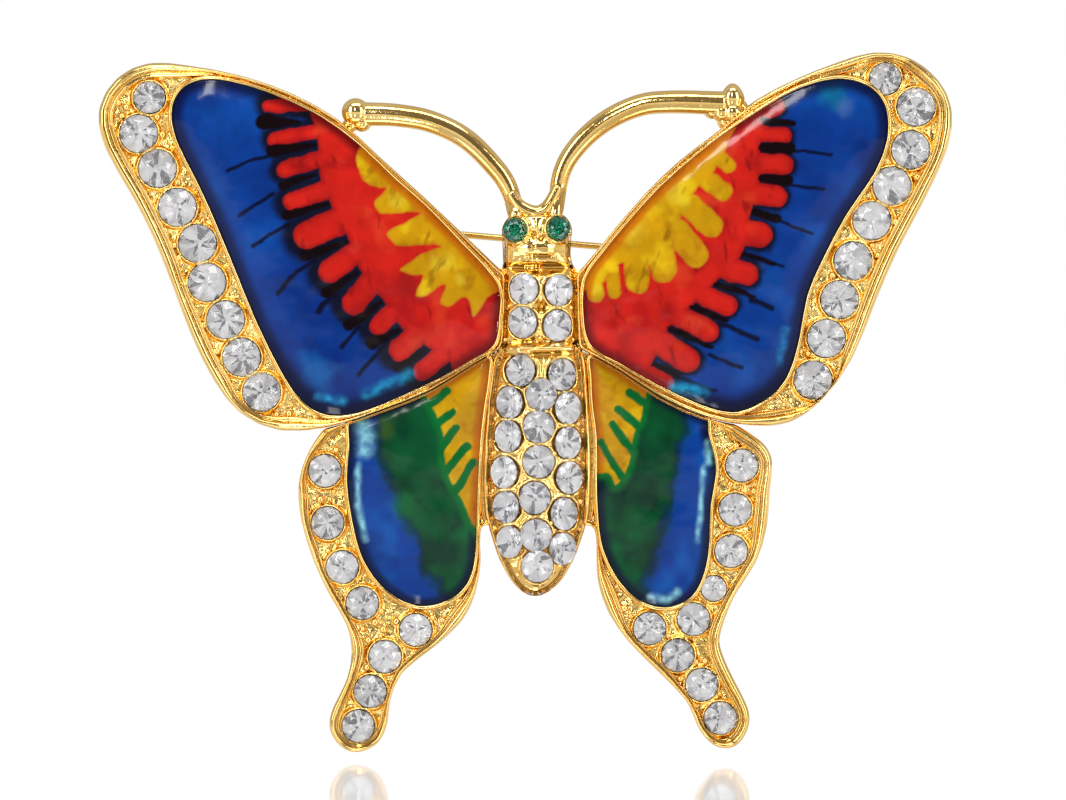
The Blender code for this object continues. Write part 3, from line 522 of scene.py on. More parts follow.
# The same painted light and shade for the green stones' foil.
EMERALD_FOIL_PAINTED_SHADES = [foil_back("green_foil_painted_lit", (0.16, 0.66, 0.50), (0.08, 0.48, 0.36)),
                foil_back("green_foil_painted_half_shade", (0.05, 0.36, 0.27), (0.03, 0.26, 0.19)),
                foil_back("green_foil_painted_shade", (0.02, 0.14, 0.10), (0.01, 0.08, 0.06))]


# ---------------------------------------------------------------- cut stones

def hull_of(points):
    """Vertices and faces of the convex solid round some points, flat faces joined."""
    bm = bmesh.new()
    verts = [bm.verts.new(p) for p in points]
    result = bmesh.ops.convex_hull(bm, input=verts)
    unused = result["geom_unused"] + result["geom_interior"]
    spare = set(v for v in unused if isinstance(v, bmesh.types.BMVert))
    bmesh.ops.delete(bm, geom=list(spare), context="VERTS")
    bmesh.ops.dissolve_limit(bm, angle_limit=0.01, verts=bm.verts[:], edges=bm.edges[:])
    bm.verts.ensure_lookup_table()
    bm.verts.index_update()
    out = [tuple(v.co) for v in bm.verts]
    faces = [tuple(v.index for v in f.verts) for f in bm.faces]
    bm.free()
    return out, faces


def circle(radius, depth, count, turn):
    """Points round a circle."""
    return [(radius * math.cos((k + turn) * math.tau / count),
             radius * math.sin((k + turn) * math.tau / count),
             depth) for k in range(count)]


BRILLIANT = hull_of(circle(0.54, 0.40, 8, 0.5) + circle(0.775, 0.27, 8, 0) + circle(1.0, 0.05, 16, 0)
                    + circle(1.0, -0.03, 16, 0) + circle(0.62, -0.40, 8, 0) + circle(0.24, -0.70, 8, 0.5)
                    + [(0, 0, -0.84)])
RANDOM = np.random.default_rng(11)


def stone(across, up, depth, radius, lean_across=0.0, lean_up=0.0, stretch=(1.0, 1.0)):
    """Points and faces of one brilliant set in the plan with a small random turn and lean."""
    turn = Matrix.Rotation(RANDOM.uniform(0, math.tau), 3, "Z")
    jitter = math.radians(4.0)
    lean = Matrix.Rotation(lean_across + RANDOM.uniform(-jitter, jitter), 3, "Y")
    lean = lean @ Matrix.Rotation(-lean_up + RANDOM.uniform(-jitter, jitter), 3, "X")
    points = []
    for p in BRILLIANT[0]:
        q = turn @ Vector(p)
        q = lean @ Vector((q.x * radius * stretch[0], q.y * radius * stretch[1], q.z * radius))
        points.append((across + q.x, up + q.y, depth + q.z))
    return points, BRILLIANT[1]


def back_faces(faces):
    """Indices of the faces behind a stone's girdle."""
    local = np.array(BRILLIANT[0])
    per = len(BRILLIANT[1])
    low = [np.mean([local[i][2] for i in f]) < -0.06 for f in BRILLIANT[1]]
    return [k for k in range(len(faces)) if low[k % per]]


def add_stone(name, shape, replaced, glass, painted_shade_foils, finish):
    """A stone piece: glass in front, foil behind whose facets get painted light and shade, each facet a
    random pick of lit, half-shaded and shaded foil.
    """
    points, faces = shape
    behind = back_faces(faces)
    shade = RANDOM.choice(len(painted_shade_foils), len(behind), p=PAINTED_SHADE_SHARES)
    groups = [(foil, [face for face, pick in zip(behind, shade) if pick == k])
              for k, foil in enumerate(painted_shade_foils)]
    return piece(name, points, faces, glass, replaced=replaced, finish=finish, smooth=False,
                 materials=groups)


# ---------------------------------------------------------------- enamel paint

def capsule(x, y, stroke, radius):
    """Distance outside a round-ended bar from one point to another, negative inside."""
    return wedge(x, y, stroke, 2 * radius, 2 * radius)


def extended(start, end, more):
    """The start of a stroke moved further back from its end."""
    length = math.hypot(end[0] - start[0], end[1] - start[1])
    return (start[0] - (end[0] - start[0]) / length * more, start[1] - (end[1] - start[1]) / length * more)


def wedge(x, y, stroke, w0, w1):
    """Distance outside a bar whose width changes from end to end, negative inside."""
    (x0, y0), (x1, y1) = stroke
    dx, dy = x1 - x0, y1 - y0
    t = np.clip(((x - x0) * dx + (y - y0) * dy) / (dx * dx + dy * dy + 1e-9), 0, 1)
    return np.hypot(x - x0 - t * dx, y - y0 - t * dy) - (w0 + (w1 - w0) * t) / 2


def line_distance(x, y, points):
    """Distance to an open line through points."""
    return distance(np.column_stack([x, y]), np.array(points, float))


def region(x, y, line, close):
    """Distance from a smooth line through points, positive on the side closed off by further points."""
    plan = np.column_stack([x, y])
    edge = spline(line, 6)
    loop = np.vstack([edge, np.array(close, float)])
    within = np.zeros(len(plan), bool)
    for (x0, y0), (x1, y1) in zip(loop, np.roll(loop, -1, axis=0)):
        crosses = (y0 > y) != (y1 > y)
        within ^= crosses & (x < (x1 - x0) * (y - y0) / (y1 - y0 + 1e-12) + x0)
    away = distance(plan, edge)
    return np.where(within, away, -away)


def coat(code, plan):
    """One colour, from its sRGB hex code, at every plan point."""
    return np.tile(np.array(linear(code)), (len(plan), 1))


def over(base, colour, amount):
    """A colour (a hex code, or one colour a point) painted over what is there."""
    colour = np.array(linear(colour))[None, :] if isinstance(colour, str) else colour
    return base * (1 - amount[:, None]) + colour * amount[:, None]


PAINT_GAIN = 0.66
FORE = {
    "left": dict(
        fingers=[((-17.8, 48.4), (-19.95, 48.35), .5), ((-16.0, 46.5), (-19.5, 45.9), .55),
                 ((-15.8, 44.5), (-18.7, 43.65), .65), ((-15.4, 42.2), (-18.2, 41.2), .7),
                 ((-14.6, 39.8), (-17.1, 38.7), 1.05), ((-13.4, 37.5), (-15.4, 36.0), .85),
                 ((-12.2, 35.3), (-13.6, 33.7), .95), ((-10.8, 32.9), (-11.8, 31.9), .7),
                 ((-9.0, 31.2), (-10.2, 30.2), .85), ((-7.0, 29.8), (-8.4, 28.6), .75)],
        roots=[(-17.0, 50.5), (-17.1, 48.4), (-16.6, 47.1), (-16.2, 45.4), (-16.1, 43.3), (-15.3, 41.0),
               (-13.9, 38.3), (-13.1, 36.1), (-11.4, 33.8), (-10.1, 31.9), (-8.1, 30.4), (-6.6, 29.5),
               (-6.0, 27.5)],
        wedges=[((-17.75, 47.1), (-20.4, 47.2), .2, 1.1), ((-16.4, 45.45), (-19.6, 45.0), .15, .9),
                ((-16.5, 43.25), (-18.9, 42.4), .15, .6), ((-15.55, 41.05), (-18.6, 40.2), .15, .7),
                ((-14.1, 38.2), (-17.2, 37.2), .2, .8), ((-13.4, 35.9), (-15.6, 34.5), .15, .8),
                ((-11.55, 33.65), (-14.0, 32.0), .15, .8), ((-10.3, 31.7), (-12.3, 30.6), .15, .8),
                ((-8.2, 30.2), (-10.3, 28.9), .15, .7)],
        veins=[([(-19.9, 44.6), (-21.4, 44.3), (-23.0, 43.55)], .10), ([(-19.6, 41.8), (-22.2, 40.2)], .10),
               ([(-18.4, 39.6), (-21.2, 37.9)], .10), ([(-16, 37.1), (-17.9, 36), (-19.3, 34.3)], .15),
               ([(-15.1, 34.3), (-16.3, 33.0)], .2), ([(-13.2, 31.9), (-14.5, 30.4)], .14),
               ([(-11.4, 30.4), (-13.2, 28.3)], .14)],
        yellow=[(-12.4, 46.5), (-13.4, 44.8), (-13.2, 43.55), (-12.8, 42.7), (-11.7, 42.25), (-11.2, 42.2),
                (-12.1, 41.2), (-11.9, 40.55), (-11.3, 40.3), (-8.7, 40.4), (-9.8, 39.7), (-11.1, 38.9),
                (-10.75, 38.2), (-10, 37.9), (-7.15, 38.0), (-8.3, 37.4), (-9.4, 36.7), (-10.1, 36.1),
                (-9.1, 35.7), (-8.45, 35.65), (-9.0, 34.4), (-8.5, 34.1), (-6.9, 35.0), (-7.1, 33.8),
                (-6.5, 33.4), (-5.2, 34.1), (-4.7, 32.6), (-3.8, 33.8), (-3.3, 34.3), (-1.5, 35.2)],
        body_side=[(0, 26), (0, 52)], yellow_side=[(0, 40), (-8, 52)], lobes=[], halo=(0.45, 0.5),
        lit=[((-16.5, 28.5), 2.0, "1C78C8", .55), ((-24.0, 47.2), 2.6, "1560C0", .35),
             ((-19.0, 33.0), 1.8, "0E50B0", .4), ((-22.3, 41.5), 1.6, "1050B8", .3)],
        painted_glare_streaks=[([(-12.6, 26.9), (-9.4, 28.3)], .16, "20B8F0"),
                 ([(-16.3, 26.6), (-14.4, 26.3)], .12, "2AA8E8")],
        painted_glints=[((-7.0, 36.6), 1.2), ((-10.3, 41.3), 1.0), ((-5.6, 35.4), .8)],
    ),
    "right": dict(
        fingers=[((15.7, 47.4), (18.0, 48.3), .6), ((16.8, 46.3), (18.5, 46.2), .6),
                 ((16.8, 44.1), (18.5, 44.0), .75), ((16.4, 41.8), (17.9, 41.6), .85),
                 ((15.7, 38.9), (16.7, 38.7), .95), ((14.7, 36.1), (15.8, 35.8), .85),
                 ((13.2, 33.9), (14.3, 33.4), .75), ((11.6, 32.2), (12.9, 31.55), .8),
                 ((10.2, 30.1), (11.3, 29.4), .95), ((8.7, 28.3), (9.8, 27.7), .55)],
        roots=[(16.6, 50.5), (16.9, 48.6), (16.9, 47.2), (16.7, 45.2), (16.7, 42.9), (16.0, 40.4),
               (15.4, 37.3), (13.3, 35.0), (11.5, 33.3), (9.8, 31.7), (8.7, 29.2), (7.6, 28.0),
               (7.0, 26.5)],
        wedges=[((17.0, 47.3), (19.2, 47.1), .5, .3), ((16.85, 45.25), (18.9, 45.2), .6, .85),
                ((16.85, 42.95), (18.8, 42.8), .6, .8), ((16.25, 40.45), (18.0, 39.9), .45, .55),
                ((15.5, 37.3), (17.8, 36.6), .3, .25), ((13.4, 35.0), (14.6, 34.7), .25, .5),
                ((14.6, 34.7), (16.3, 34.1), .5, .15), ((11.5, 33.4), (12.6, 32.95), .2, .45),
                ((12.6, 32.95), (14.2, 32.3), .45, .2), ((9.85, 31.8), (11.2, 31.25), .2, .5),
                ((11.2, 31.25), (13.2, 30.3), .5, .1), ((8.8, 29.1), (10.6, 28.4), .25, .45)],
        veins=[([(19.1, 45.05), (22.1, 44.7)], .09), ([(19.15, 42.4), (21.5, 42.2)], .09),
               ([(17.9, 39.8), (20.65, 38.9)], .09), ([(17.4, 36.7), (18.5, 36.4)], .1),
               ([(16.1, 33.9), (17.65, 33.2)], .18), ([(13.8, 32.1), (16.5, 30.9)], .18),
               ([(12.9, 29.8), (15.4, 28.8)], .12), ([(10.6, 28.1), (13.4, 27.05)], .12)],
        yellow=[(15.6, 48.0), (14.7, 46.3), (14.0, 44.75), (13.1, 43.2), (11.6, 41.6), (10.85, 40.0),
                (10.2, 37.1), (8.3, 36.4), (6.3, 36.6), (5.1, 35.3), (3.6, 34.6), (1.5, 36.5)],
        lobes=[((13.5, 44.7), (14.4, 43.85), .55), ((12.8, 42.8), (14.0, 41.95), .72),
               ((11.5, 40.9), (13.1, 39.4), .92), ((10.5, 39.0), (11.9, 37.25), .98),
               ((9.3, 37.8), (9.55, 36.15), .98), ((7.5, 37.0), (7.6, 35.3), .95),
               ((5.7, 36.2), (5.85, 34.45), .52), ((4.3, 35.2), (4.5, 34.35), .62)],
        body_side=[(0, 26), (0, 52)], yellow_side=[(0, 40), (10, 52)], halo=(0.12, 0.06),
        lit=[((22.0, 49.3), 1.6, "1090A8", .5), ((23.2, 48.2), 1.0, "6A90C8", .35),
             ((15.5, 29.0), 2.0, "1468C8", .4), ((19.0, 33.5), 1.4, "0E58B8", .35),
             ((22.6, 44.0), 1.5, "0E50B0", .3)],
        painted_glare_streaks=[([(10.3, 27.4), (12.5, 27.0)], .16, "20B8F0"),
                 ([(18.2, 29.2), (18.6, 31.6)], .12, "2AA0E0")],
        painted_glints=[((7.2, 38.9), 1.3), ((4.6, 34.6), .6), ((10.6, 41.6), 1.0)],
    ),
}


def paint_forewing(side):
    """The paint of a forewing: blue field, red flame with black shadows, yellow at the body."""
    f = FORE[side]

    def paint(plan, edge):
        x = plan[:, 0] + 0.07 * noise(plan[:, 0], plan[:, 1], 0.8, 3)
        y = plan[:, 1] + 0.07 * noise(plan[:, 0], plan[:, 1], 0.8, 9)
        cloud = noise(x, y, 3.5, 21, 4)
        grain = noise(x, y, 0.5, 5)
        colour = coat("0B409C", plan)
        colour = over(colour, "09277A", step(0.0, 1.2, cloud) * 0.6)
        colour = over(colour, "1262C4", step(0.1, -1.0, cloud) * 0.4)
        for (cx, cy), radius, code, amount in f["lit"]:
            near = np.hypot(x - cx, y - cy) / radius + 0.25 * noise(x, y, 1.2, 31)
            colour = over(colour, code, amount * step(1.0, 0.1, near))
        # Painted shade: the blue darkens along the cell wall, and over a wider band near the wall at the
        # bottom of the wing.
        outer = step(1.1, 0.3, edge)
        colour = over(colour, "0A0E40", 0.85 * outer)
        colour = over(colour, "0C1030", step(1.6, 0.5, edge) * step(32.0, 27.0, y) * 0.7)
        red_side = region(x, y, f["roots"], f["body_side"])
        reach = np.minimum.reduce([capsule(x, y, (extended(a, b, 1.3), b), r) for a, b, r in f["fingers"]])
        red_zone = np.minimum(reach, -red_side)
        dark = f["halo"][0] + f["halo"][1] * step(46.0, 36.0, y) + 0.1 * grain
        colour = over(colour, "10101C", step(dark + 0.45, dark * 0.5, red_zone) * 0.95)
        for points, half in f["veins"]:
            near = line_distance(x, y, points)
            colour = over(colour, "0A0C26", step(half + 0.12, half * 0.5, near) * 0.95)
        for a, b, w0, w1 in f["wedges"]:
            colour = over(colour, "0C0C16", step(0.15, 0.0, wedge(x, y, (a, b), w0, w1)))
        red = step(0.05, -0.06, red_zone)
        red_colour = coat("E3261C", plan)
        red_colour = over(red_colour, "B0121A", step(0.2, 1.2, noise(x, y, 2.2, 41)) * 0.7)
        red_colour = over(red_colour, "F04A28", step(-0.2, -1.2, noise(x, y, 1.8, 47)) * 0.6)
        brush = noise(x * 2.2 + 0.4 * y, y * 0.7, 1.1, 89)
        red_colour = over(red_colour, "8C1016", step(0.55, 1.2, brush) * 0.65)
        # Painted shade: the red darkens along the cell wall.
        red_colour = over(red_colour, "7A0E14", step(0.9, 0.1, edge) * 0.9)
        red_colour = over(red_colour, "A01018", step(-0.45, -0.05, red_zone) * 0.55)
        colour = over(colour, red_colour, red)
        for a, b, w0, w1 in f["wedges"]:
            colour = over(colour, "14060C", step(0.06, -0.06, wedge(x, y, (a, b), w0, w1)))
        line = region(x, y, f["yellow"], f["yellow_side"])
        for a, b, r in f["lobes"]:
            line = np.maximum(line, -capsule(x, y, (a, b), r))
        yellow_side = step(-0.05, 0.06, line)
        gold_paint = coat("E2A80E", plan)
        gold_paint = over(gold_paint, "C8860C", step(0.0, 1.0, noise(x, y, 1.0, 61)) * 0.8)
        gold_paint = over(gold_paint, "FFD81A", step(0.1, -1.0, noise(x, y, 1.4, 67)) * 0.7)
        # Painted highlights: pale yellow glints on the yellow paint.
        for (cx, cy), radius in f["painted_glints"]:
            near = np.hypot(x - cx, y - cy) / radius + 0.3 * noise(x, y, 0.7, 71)
            gold_paint = over(gold_paint, "FFE840", 0.45 * step(1.1, 0.1, near))
        brush = noise(0.35 * x + 0.9 * y, 3.0 * (0.9 * x - 0.35 * y), 1.6, 87)
        gold_paint = over(gold_paint, "8A5A0A", step(0.7, 1.3, brush) * 0.6)
        # Painted shade: the yellow deepens to orange along the cell wall.
        gold_paint = over(gold_paint, "D9720C", step(0.75, 0.35, edge) * 0.85)
        gold_paint = over(gold_paint, "D2691E", step(0.25, 0.0, line) * 0.45)
        colour = over(colour, gold_paint, yellow_side)
        # Painted reflections: cyan glare streaks laid over the paint.
        for points, half, code in f["painted_glare_streaks"]:
            glint = step(half * 5.0, 0.0, line_distance(x, y, points)) * (0.6 + 0.3 * noise(x, y, 0.5, 77))
            colour = over(colour, code, np.clip(glint, 0, 1) ** 1.5)
        return colour * PAINT_GAIN
    return paint


HIND = {
    "left": dict(
        yellow=[(-8.6, 28.6), (-8.1, 26.6), (-7.5, 25.25), (-6.9, 23.6), (-6.8, 21.7), (-6.15, 19.9),
                (-5.35, 18.5), (-4.75, 17.2), (-4.0, 16.0)],
        fingers=[((-8.1, 25.9), (-6.7, 27.05), .32), ((-7.7, 24.4), (-6.3, 25.5), .3),
                 ((-7.4, 22.4), (-6.0, 24.3), .3), ((-7.0, 20.9), (-5.2, 22.9), .33),
                 ((-6.3, 19.2), (-4.75, 21.7), .32)],
        blue=[(-12.2, 27.5), (-12.2, 25.0), (-12.1, 22.4), (-10.6, 19.2), (-10.1, 17.4), (-9.1, 15.75),
              (-8.5, 13.65), (-7.3, 12.3), (-6.7, 11.4), (-6.2, 10.0)],
        outer_side=[(-20, 10), (-20, 28)], body_side=[(0, 16), (0, 34), (-8, 34)],
        glare=[([(-13.1, 24.6), (-12.6, 23.6), (-12.9, 22.6)], .28),
               ([(-13.3, 21.5), (-13.3, 18.5), (-12.8, 16.0)], .12)],
        spots=[((-11.3, 24.3), .9, "5A6A28", .6), ((-9.9, 18.8), 1.3, "0E8A40", .6),
               ((-5.3, 16.3), .9, "108A44", .6), ((-8.0, 22.0), 1.2, "0C6A3A", .5),
               ((-12.0, 17.0), 1.2, "0E66C8", .5), ((-9.8, 13.4), 1.2, "0C50B8", .5)],
    ),
    "right": dict(
        yellow=[(8.6, 28.6), (8.2, 26.8), (7.8, 25.1), (7.25, 23.6), (6.9, 21.6), (6.05, 20.05),
                (5.3, 20.9), (4.0, 20.9)],
        fingers=[((8.4, 26.0), (7.0, 26.95), .32), ((7.8, 24.3), (6.15, 25.7), .3),
                 ((7.3, 22.4), (5.75, 24.5), .32), ((6.4, 20.6), (4.9, 23.2), .3)],
        blue=[(11.6, 27.5), (11.4, 25.2), (11.2, 24.15), (10.95, 22.35), (10.65, 20.85), (10.2, 18.9),
              (9.75, 17.4), (9.3, 15.75), (9.0, 13.95), (8.1, 12.3), (7.6, 10.5)],
        outer_side=[(20, 10), (20, 28)], body_side=[(0, 20), (0, 34), (8, 34)],
        glare=[([(12.5, 21.5), (12.3, 18.6), (12.1, 15.8)], .10),
               ([(8.6, 11.7), (9.8, 11.4), (10.6, 12.0)], .14), ([(12.9, 23.2), (12.9, 21.8)], .14)],
        spots=[((7.2, 17.2), 1.6, "0C7A3A", .5), ((6.0, 15.2), .9, "108A44", .5),
               ((8.8, 22.8), 1.2, "0B5A34", .5), ((11.0, 15.5), 1.2, "0C58C0", .5),
               ((9.6, 12.4), 1.0, "1A74D0", .6)],
    ),
}


def paint_hindwing(side):
    """The paint of a hindwing: blue outside, green within, yellow by the body."""
    h = HIND[side]

    def paint(plan, edge):
        x = plan[:, 0] + 0.08 * noise(plan[:, 0], plan[:, 1], 0.8, 13)
        y = plan[:, 1] + 0.08 * noise(plan[:, 0], plan[:, 1], 0.8, 19)
        cloud = noise(x, y, 2.5, 23, 4)
        colour = coat("0A5630", plan)
        colour = over(colour, "063026", step(-0.2, 1.0, cloud) * 0.8)
        colour = over(colour, "0E7040", step(0.2, -1.2, cloud) * 0.35)
        blue_side = region(x, y, h["blue"], h["outer_side"])
        mixed = blue_side + 0.35 * noise(x, y, 1.0, 29)
        blue = coat("0B44A4", plan)
        blue = over(blue, "06287A", step(0.0, 1.2, noise(x, y, 3.0, 37)) * 0.6)
        blue = over(blue, "1474D0", step(0.1, -1.1, noise(x, y, 2.2, 43)) * 0.35)
        colour = over(colour, blue, step(-0.7, 0.7, mixed))
        colour = over(colour, "061820", step(0.6, 0.0, np.abs(mixed + 0.2)) * 0.45)
        for (cx, cy), radius, code, amount in h["spots"]:
            near = np.hypot(x - cx, y - cy) / radius + 0.25 * noise(x, y, 0.9, 53)
            colour = over(colour, code, 0.7 * amount * step(1.25, 0.0, near))
        # Painted shade: the colours darken along the cell wall.
        colour = over(colour, "0A1236", step(0.8, 0.2, edge) * 0.85)
        yellow = region(x, y, h["yellow"], h["body_side"])
        strokes = np.minimum.reduce([capsule(x, y, (a, b), r) for a, b, r in h["fingers"]])
        yellow = np.minimum(yellow, strokes)
        colour = over(colour, "0E8234", step(-0.75, -0.1, yellow) * 0.75)
        near_body = step(-0.04, 0.06, yellow)
        paint_gold = coat("DFA710", plan)
        paint_gold = over(paint_gold, "C07F0C", step(0.0, 1.0, noise(x, y, 0.9, 59)) * 0.7)
        paint_gold = over(paint_gold, "FFD822", step(0.1, -1.0, noise(x, y, 1.2, 63)) * 0.6)
        # Painted shade: the yellow deepens to orange along the cell wall.
        paint_gold = over(paint_gold, "D2700C", step(0.7, 0.25, edge) * 0.8)
        colour = over(colour, paint_gold, near_body)
        for points, half in h["glare"]:
            glint = step(half * 4.0, 0.0, line_distance(x, y, points)) * (0.75 + 0.3 * noise(x, y, 0.5, 79))
            colour = over(colour, "9CE8F8", np.clip(glint, 0, 1) ** 1.5)
        return colour * PAINT_GAIN
    return paint


# ---------------------------------------------------------------- wings

def wing_loops(name, kind):
    """The outer, cell and trough loops of a wing, eased."""
    drop = DROP[kind]
    outer = slice_loops(f"{name}_frame", 0.4)[0]
    cell = slice_loops(f"{name}_enamel", 1.7 - drop)[0]
    trough = [loop for loop in slice_loops(f"{name}_frame", 2.05 - drop)[1:] if area(loop) > 8][-1]
    return [soften(resample(loop, STEP), 0.28) for loop in (outer, cell, trough)]


RIM = [(0.5, 0.02), (0.12, 0.02), (0.0, 0.2), (0.0, 1.2), (0.0, 2.1), (0.07, 2.36), (0.16, 2.52),
       (0.28, 2.6), (0.42, 2.6), (0.55, 2.52), (0.66, 2.36), (0.73, 2.22), (0.80, 2.17), (0.88, 2.22),
       (0.96, 2.28), (1.04, 2.24), (1.12, 2.05), (1.18, 1.8), (1.2, 1.5)]
WALL = [(0.03, 0.9), (0.02, 1.9), (-0.02, 2.2), (-0.08, 2.42), (-0.17, 2.5), (-0.28, 2.47), (-0.38, 2.3),
        (-0.42, 2.05), (-0.43, 1.6)]


def add_wing(name, kind, count):
    """A wing's casting, its enamel and its crystals."""
    side = name.split("_")[0]
    drop = DROP[kind]
    outer, cell, trough = wing_loops(name, kind)
    stones = [stone_place(f"{name}_crystal_{k}") for k in range(1, count + 1)]
    radii = [(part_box(f"{name}_crystal_{k}")[1].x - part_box(f"{name}_crystal_{k}")[0].x) / 2 / MM
             for k in range(1, count + 1)]
    room = np.abs(signed(outer, cell)) - 0.12
    for (cx, cy), r in zip(stones, radii):
        room = np.minimum(room, np.hypot(outer[:, 0] - cx, outer[:, 1] - cy) - r - 0.04)
    room = np.minimum.reduce([np.roll(room, k) for k in range(-8, 9, 2)])
    scale = soften(np.clip(room / 1.25, 0.16, 1.0)[:, None], 0.7)[:, 0]
    rim = sweep(outer, [(s, d - drop if d > 0.3 else d) for s, d in RIM], scale)
    piece(f"{name}_rim", *rim, GOLD, replaced=[f"{name}_frame"])
    wall = sweep(cell, [(s, max(d - drop, 0.3)) for s, d in WALL])
    piece(f"{name}_cell_wall", *wall, GOLD, replaced=[f"{name}_frame"])

    def bed_depth(plan, edge):
        x, y = plan[:, 0], plan[:, 1]
        base = 1.74 - drop + 0.09 * noise(x, y, 1.1, 7) + 0.05 * noise(x, y, 0.4, 17, 2)
        for (cx, cy), r in zip(stones, radii):
            away = np.hypot(x - cx, y - cy)
            lip = bell(away - r - 0.12, 0.13)
            base = base + 0.42 * lip
            base = np.where(away < r - 0.02, 1.5 - drop, base)
        return base

    def off_cell(plan):
        seats = [(cx, cy, 0.9 * r) for (cx, cy), r in zip(stones, radii)]
        return (signed(plan, cell) < -0.12) & off_seats(plan, seats)
    points, faces, _, _ = relief(outer, bed_depth, BED_GRID, extend=-0.25, hole=off_cell)
    piece(f"{name}_stone_bed", points, faces, GOLD_BED, replaced=[f"{name}_frame"])
    add_beads(name, stones, radii, trough, drop)
    back = plain_back(outer, 0.03, 1.6, 3, 0.35)
    piece(f"{name}_back", *joined(back, sweep(outer, [(0.0, 0.3), (0.06, 0.02), (0.5, 0.04)])),
          GOLD_BACK, replaced=[f"{name}_frame"])

    def dome(plan, edge):
        rise = 1 - np.exp(-np.maximum(edge, 0) / 1.1)
        return (2.14 + 0.32 * rise + 0.012 * noise(plan[:, 0], plan[:, 1], 2.4, 83)) - drop
    painter = paint_forewing(side) if kind == "forewing" else paint_hindwing(side)
    points, faces, plan, edge = relief(cell, dome, ENAMEL_GRID, extend=0.12)
    piece(f"{name}_enamel_glaze", points, faces, ENAMEL[kind], replaced=[f"{name}_enamel"],
          finish=f"{kind}_enamel", colours=painter(plan, edge))
    for k, ((cx, cy), r) in enumerate(zip(stones, radii), start=1):
        shape = stone(cx, cy, GIRDLE[kind] + 0.04, r * 1.03)
        add_stone(f"{name}_crystal_{k}_cut", shape, [f"{name}_crystal_{k}"], GLASS, FOIL_PAINTED_SHADES, "clear_crystal")


def add_beads(name, stones, radii, trough, drop):
    """Grains of gold raised between the stones."""
    shapes = []
    tries = RANDOM.uniform(trough.min(0), trough.max(0), (900, 2))
    room = signed(tries, trough)
    placed = []
    for (x, y), edge in zip(tries, room):
        gap = min(math.hypot(x - cx, y - cy) - r for (cx, cy), r in zip(stones, radii))
        size = RANDOM.uniform(0.2, 0.34)
        if edge < size + 0.06 or gap < size + 0.08 or gap > 1.6:
            continue
        if any(math.hypot(x - px, y - py) < size + ps + 0.05 for px, py, ps in placed):
            continue
        placed.append((x, y, size))
        shapes.append(bead(x, y, 1.98 - drop, size))
    if shapes:
        piece(f"{name}_grains", *joined(*shapes), GOLD, replaced=[f"{name}_frame"])


# ---------------------------------------------------------------- body

BODY_LOOP = [
    (11.8, -0.45, 0.35), (12.0, -0.95, 0.85), (12.6, -1.5, 1.5), (13.2, -1.9, 1.95), (15.0, -2.65, 2.75),
    (16.9, -3.25, 3.4), (20.4, -3.5, 3.6), (23.4, -3.45, 3.6), (26.4, -3.3, 3.5), (28.6, -3.0, 3.35),
    (29.8, -2.7, 3.2), (30.6, -2.5, 3.1), (33.4, -2.3, 3.0), (35.8, -2.4, 2.95), (36.4, -2.45, 2.75),
    (37.2, -2.45, 2.55), (38.2, -2.5, 2.6), (39.3, -2.55, 2.7), (40.0, -2.15, 2.35), (40.45, -1.5, 1.7),
    (40.6, -0.6, 0.8),
]


def body_edges(up):
    """Left and right edges of the body at each height."""
    ups = np.array([row[0] for row in BODY_LOOP])
    return (np.interp(up, ups, [row[1] for row in BODY_LOOP]),
            np.interp(up, ups, [row[2] for row in BODY_LOOP]))


TO_FRONT = 99.0
FILLET_FROM, FILLET_TO = 31.1, 36.3
FILLET = [(-0.25, 1.7), (-0.05, 1.98), (0.15, 2.05), (0.35, 2.12), (0.5, 2.1)]


def bell(away, width):
    """1 at no distance, falling smoothly to 0 over a width."""
    return np.exp(-(away / width) ** 2)


def hump(x, y, cx, cy, rx, ry):
    """1 at a centre, falling to 0 around an oval."""
    return np.exp(-(((x - cx) / rx) ** 2 + ((y - cy) / ry) ** 2))


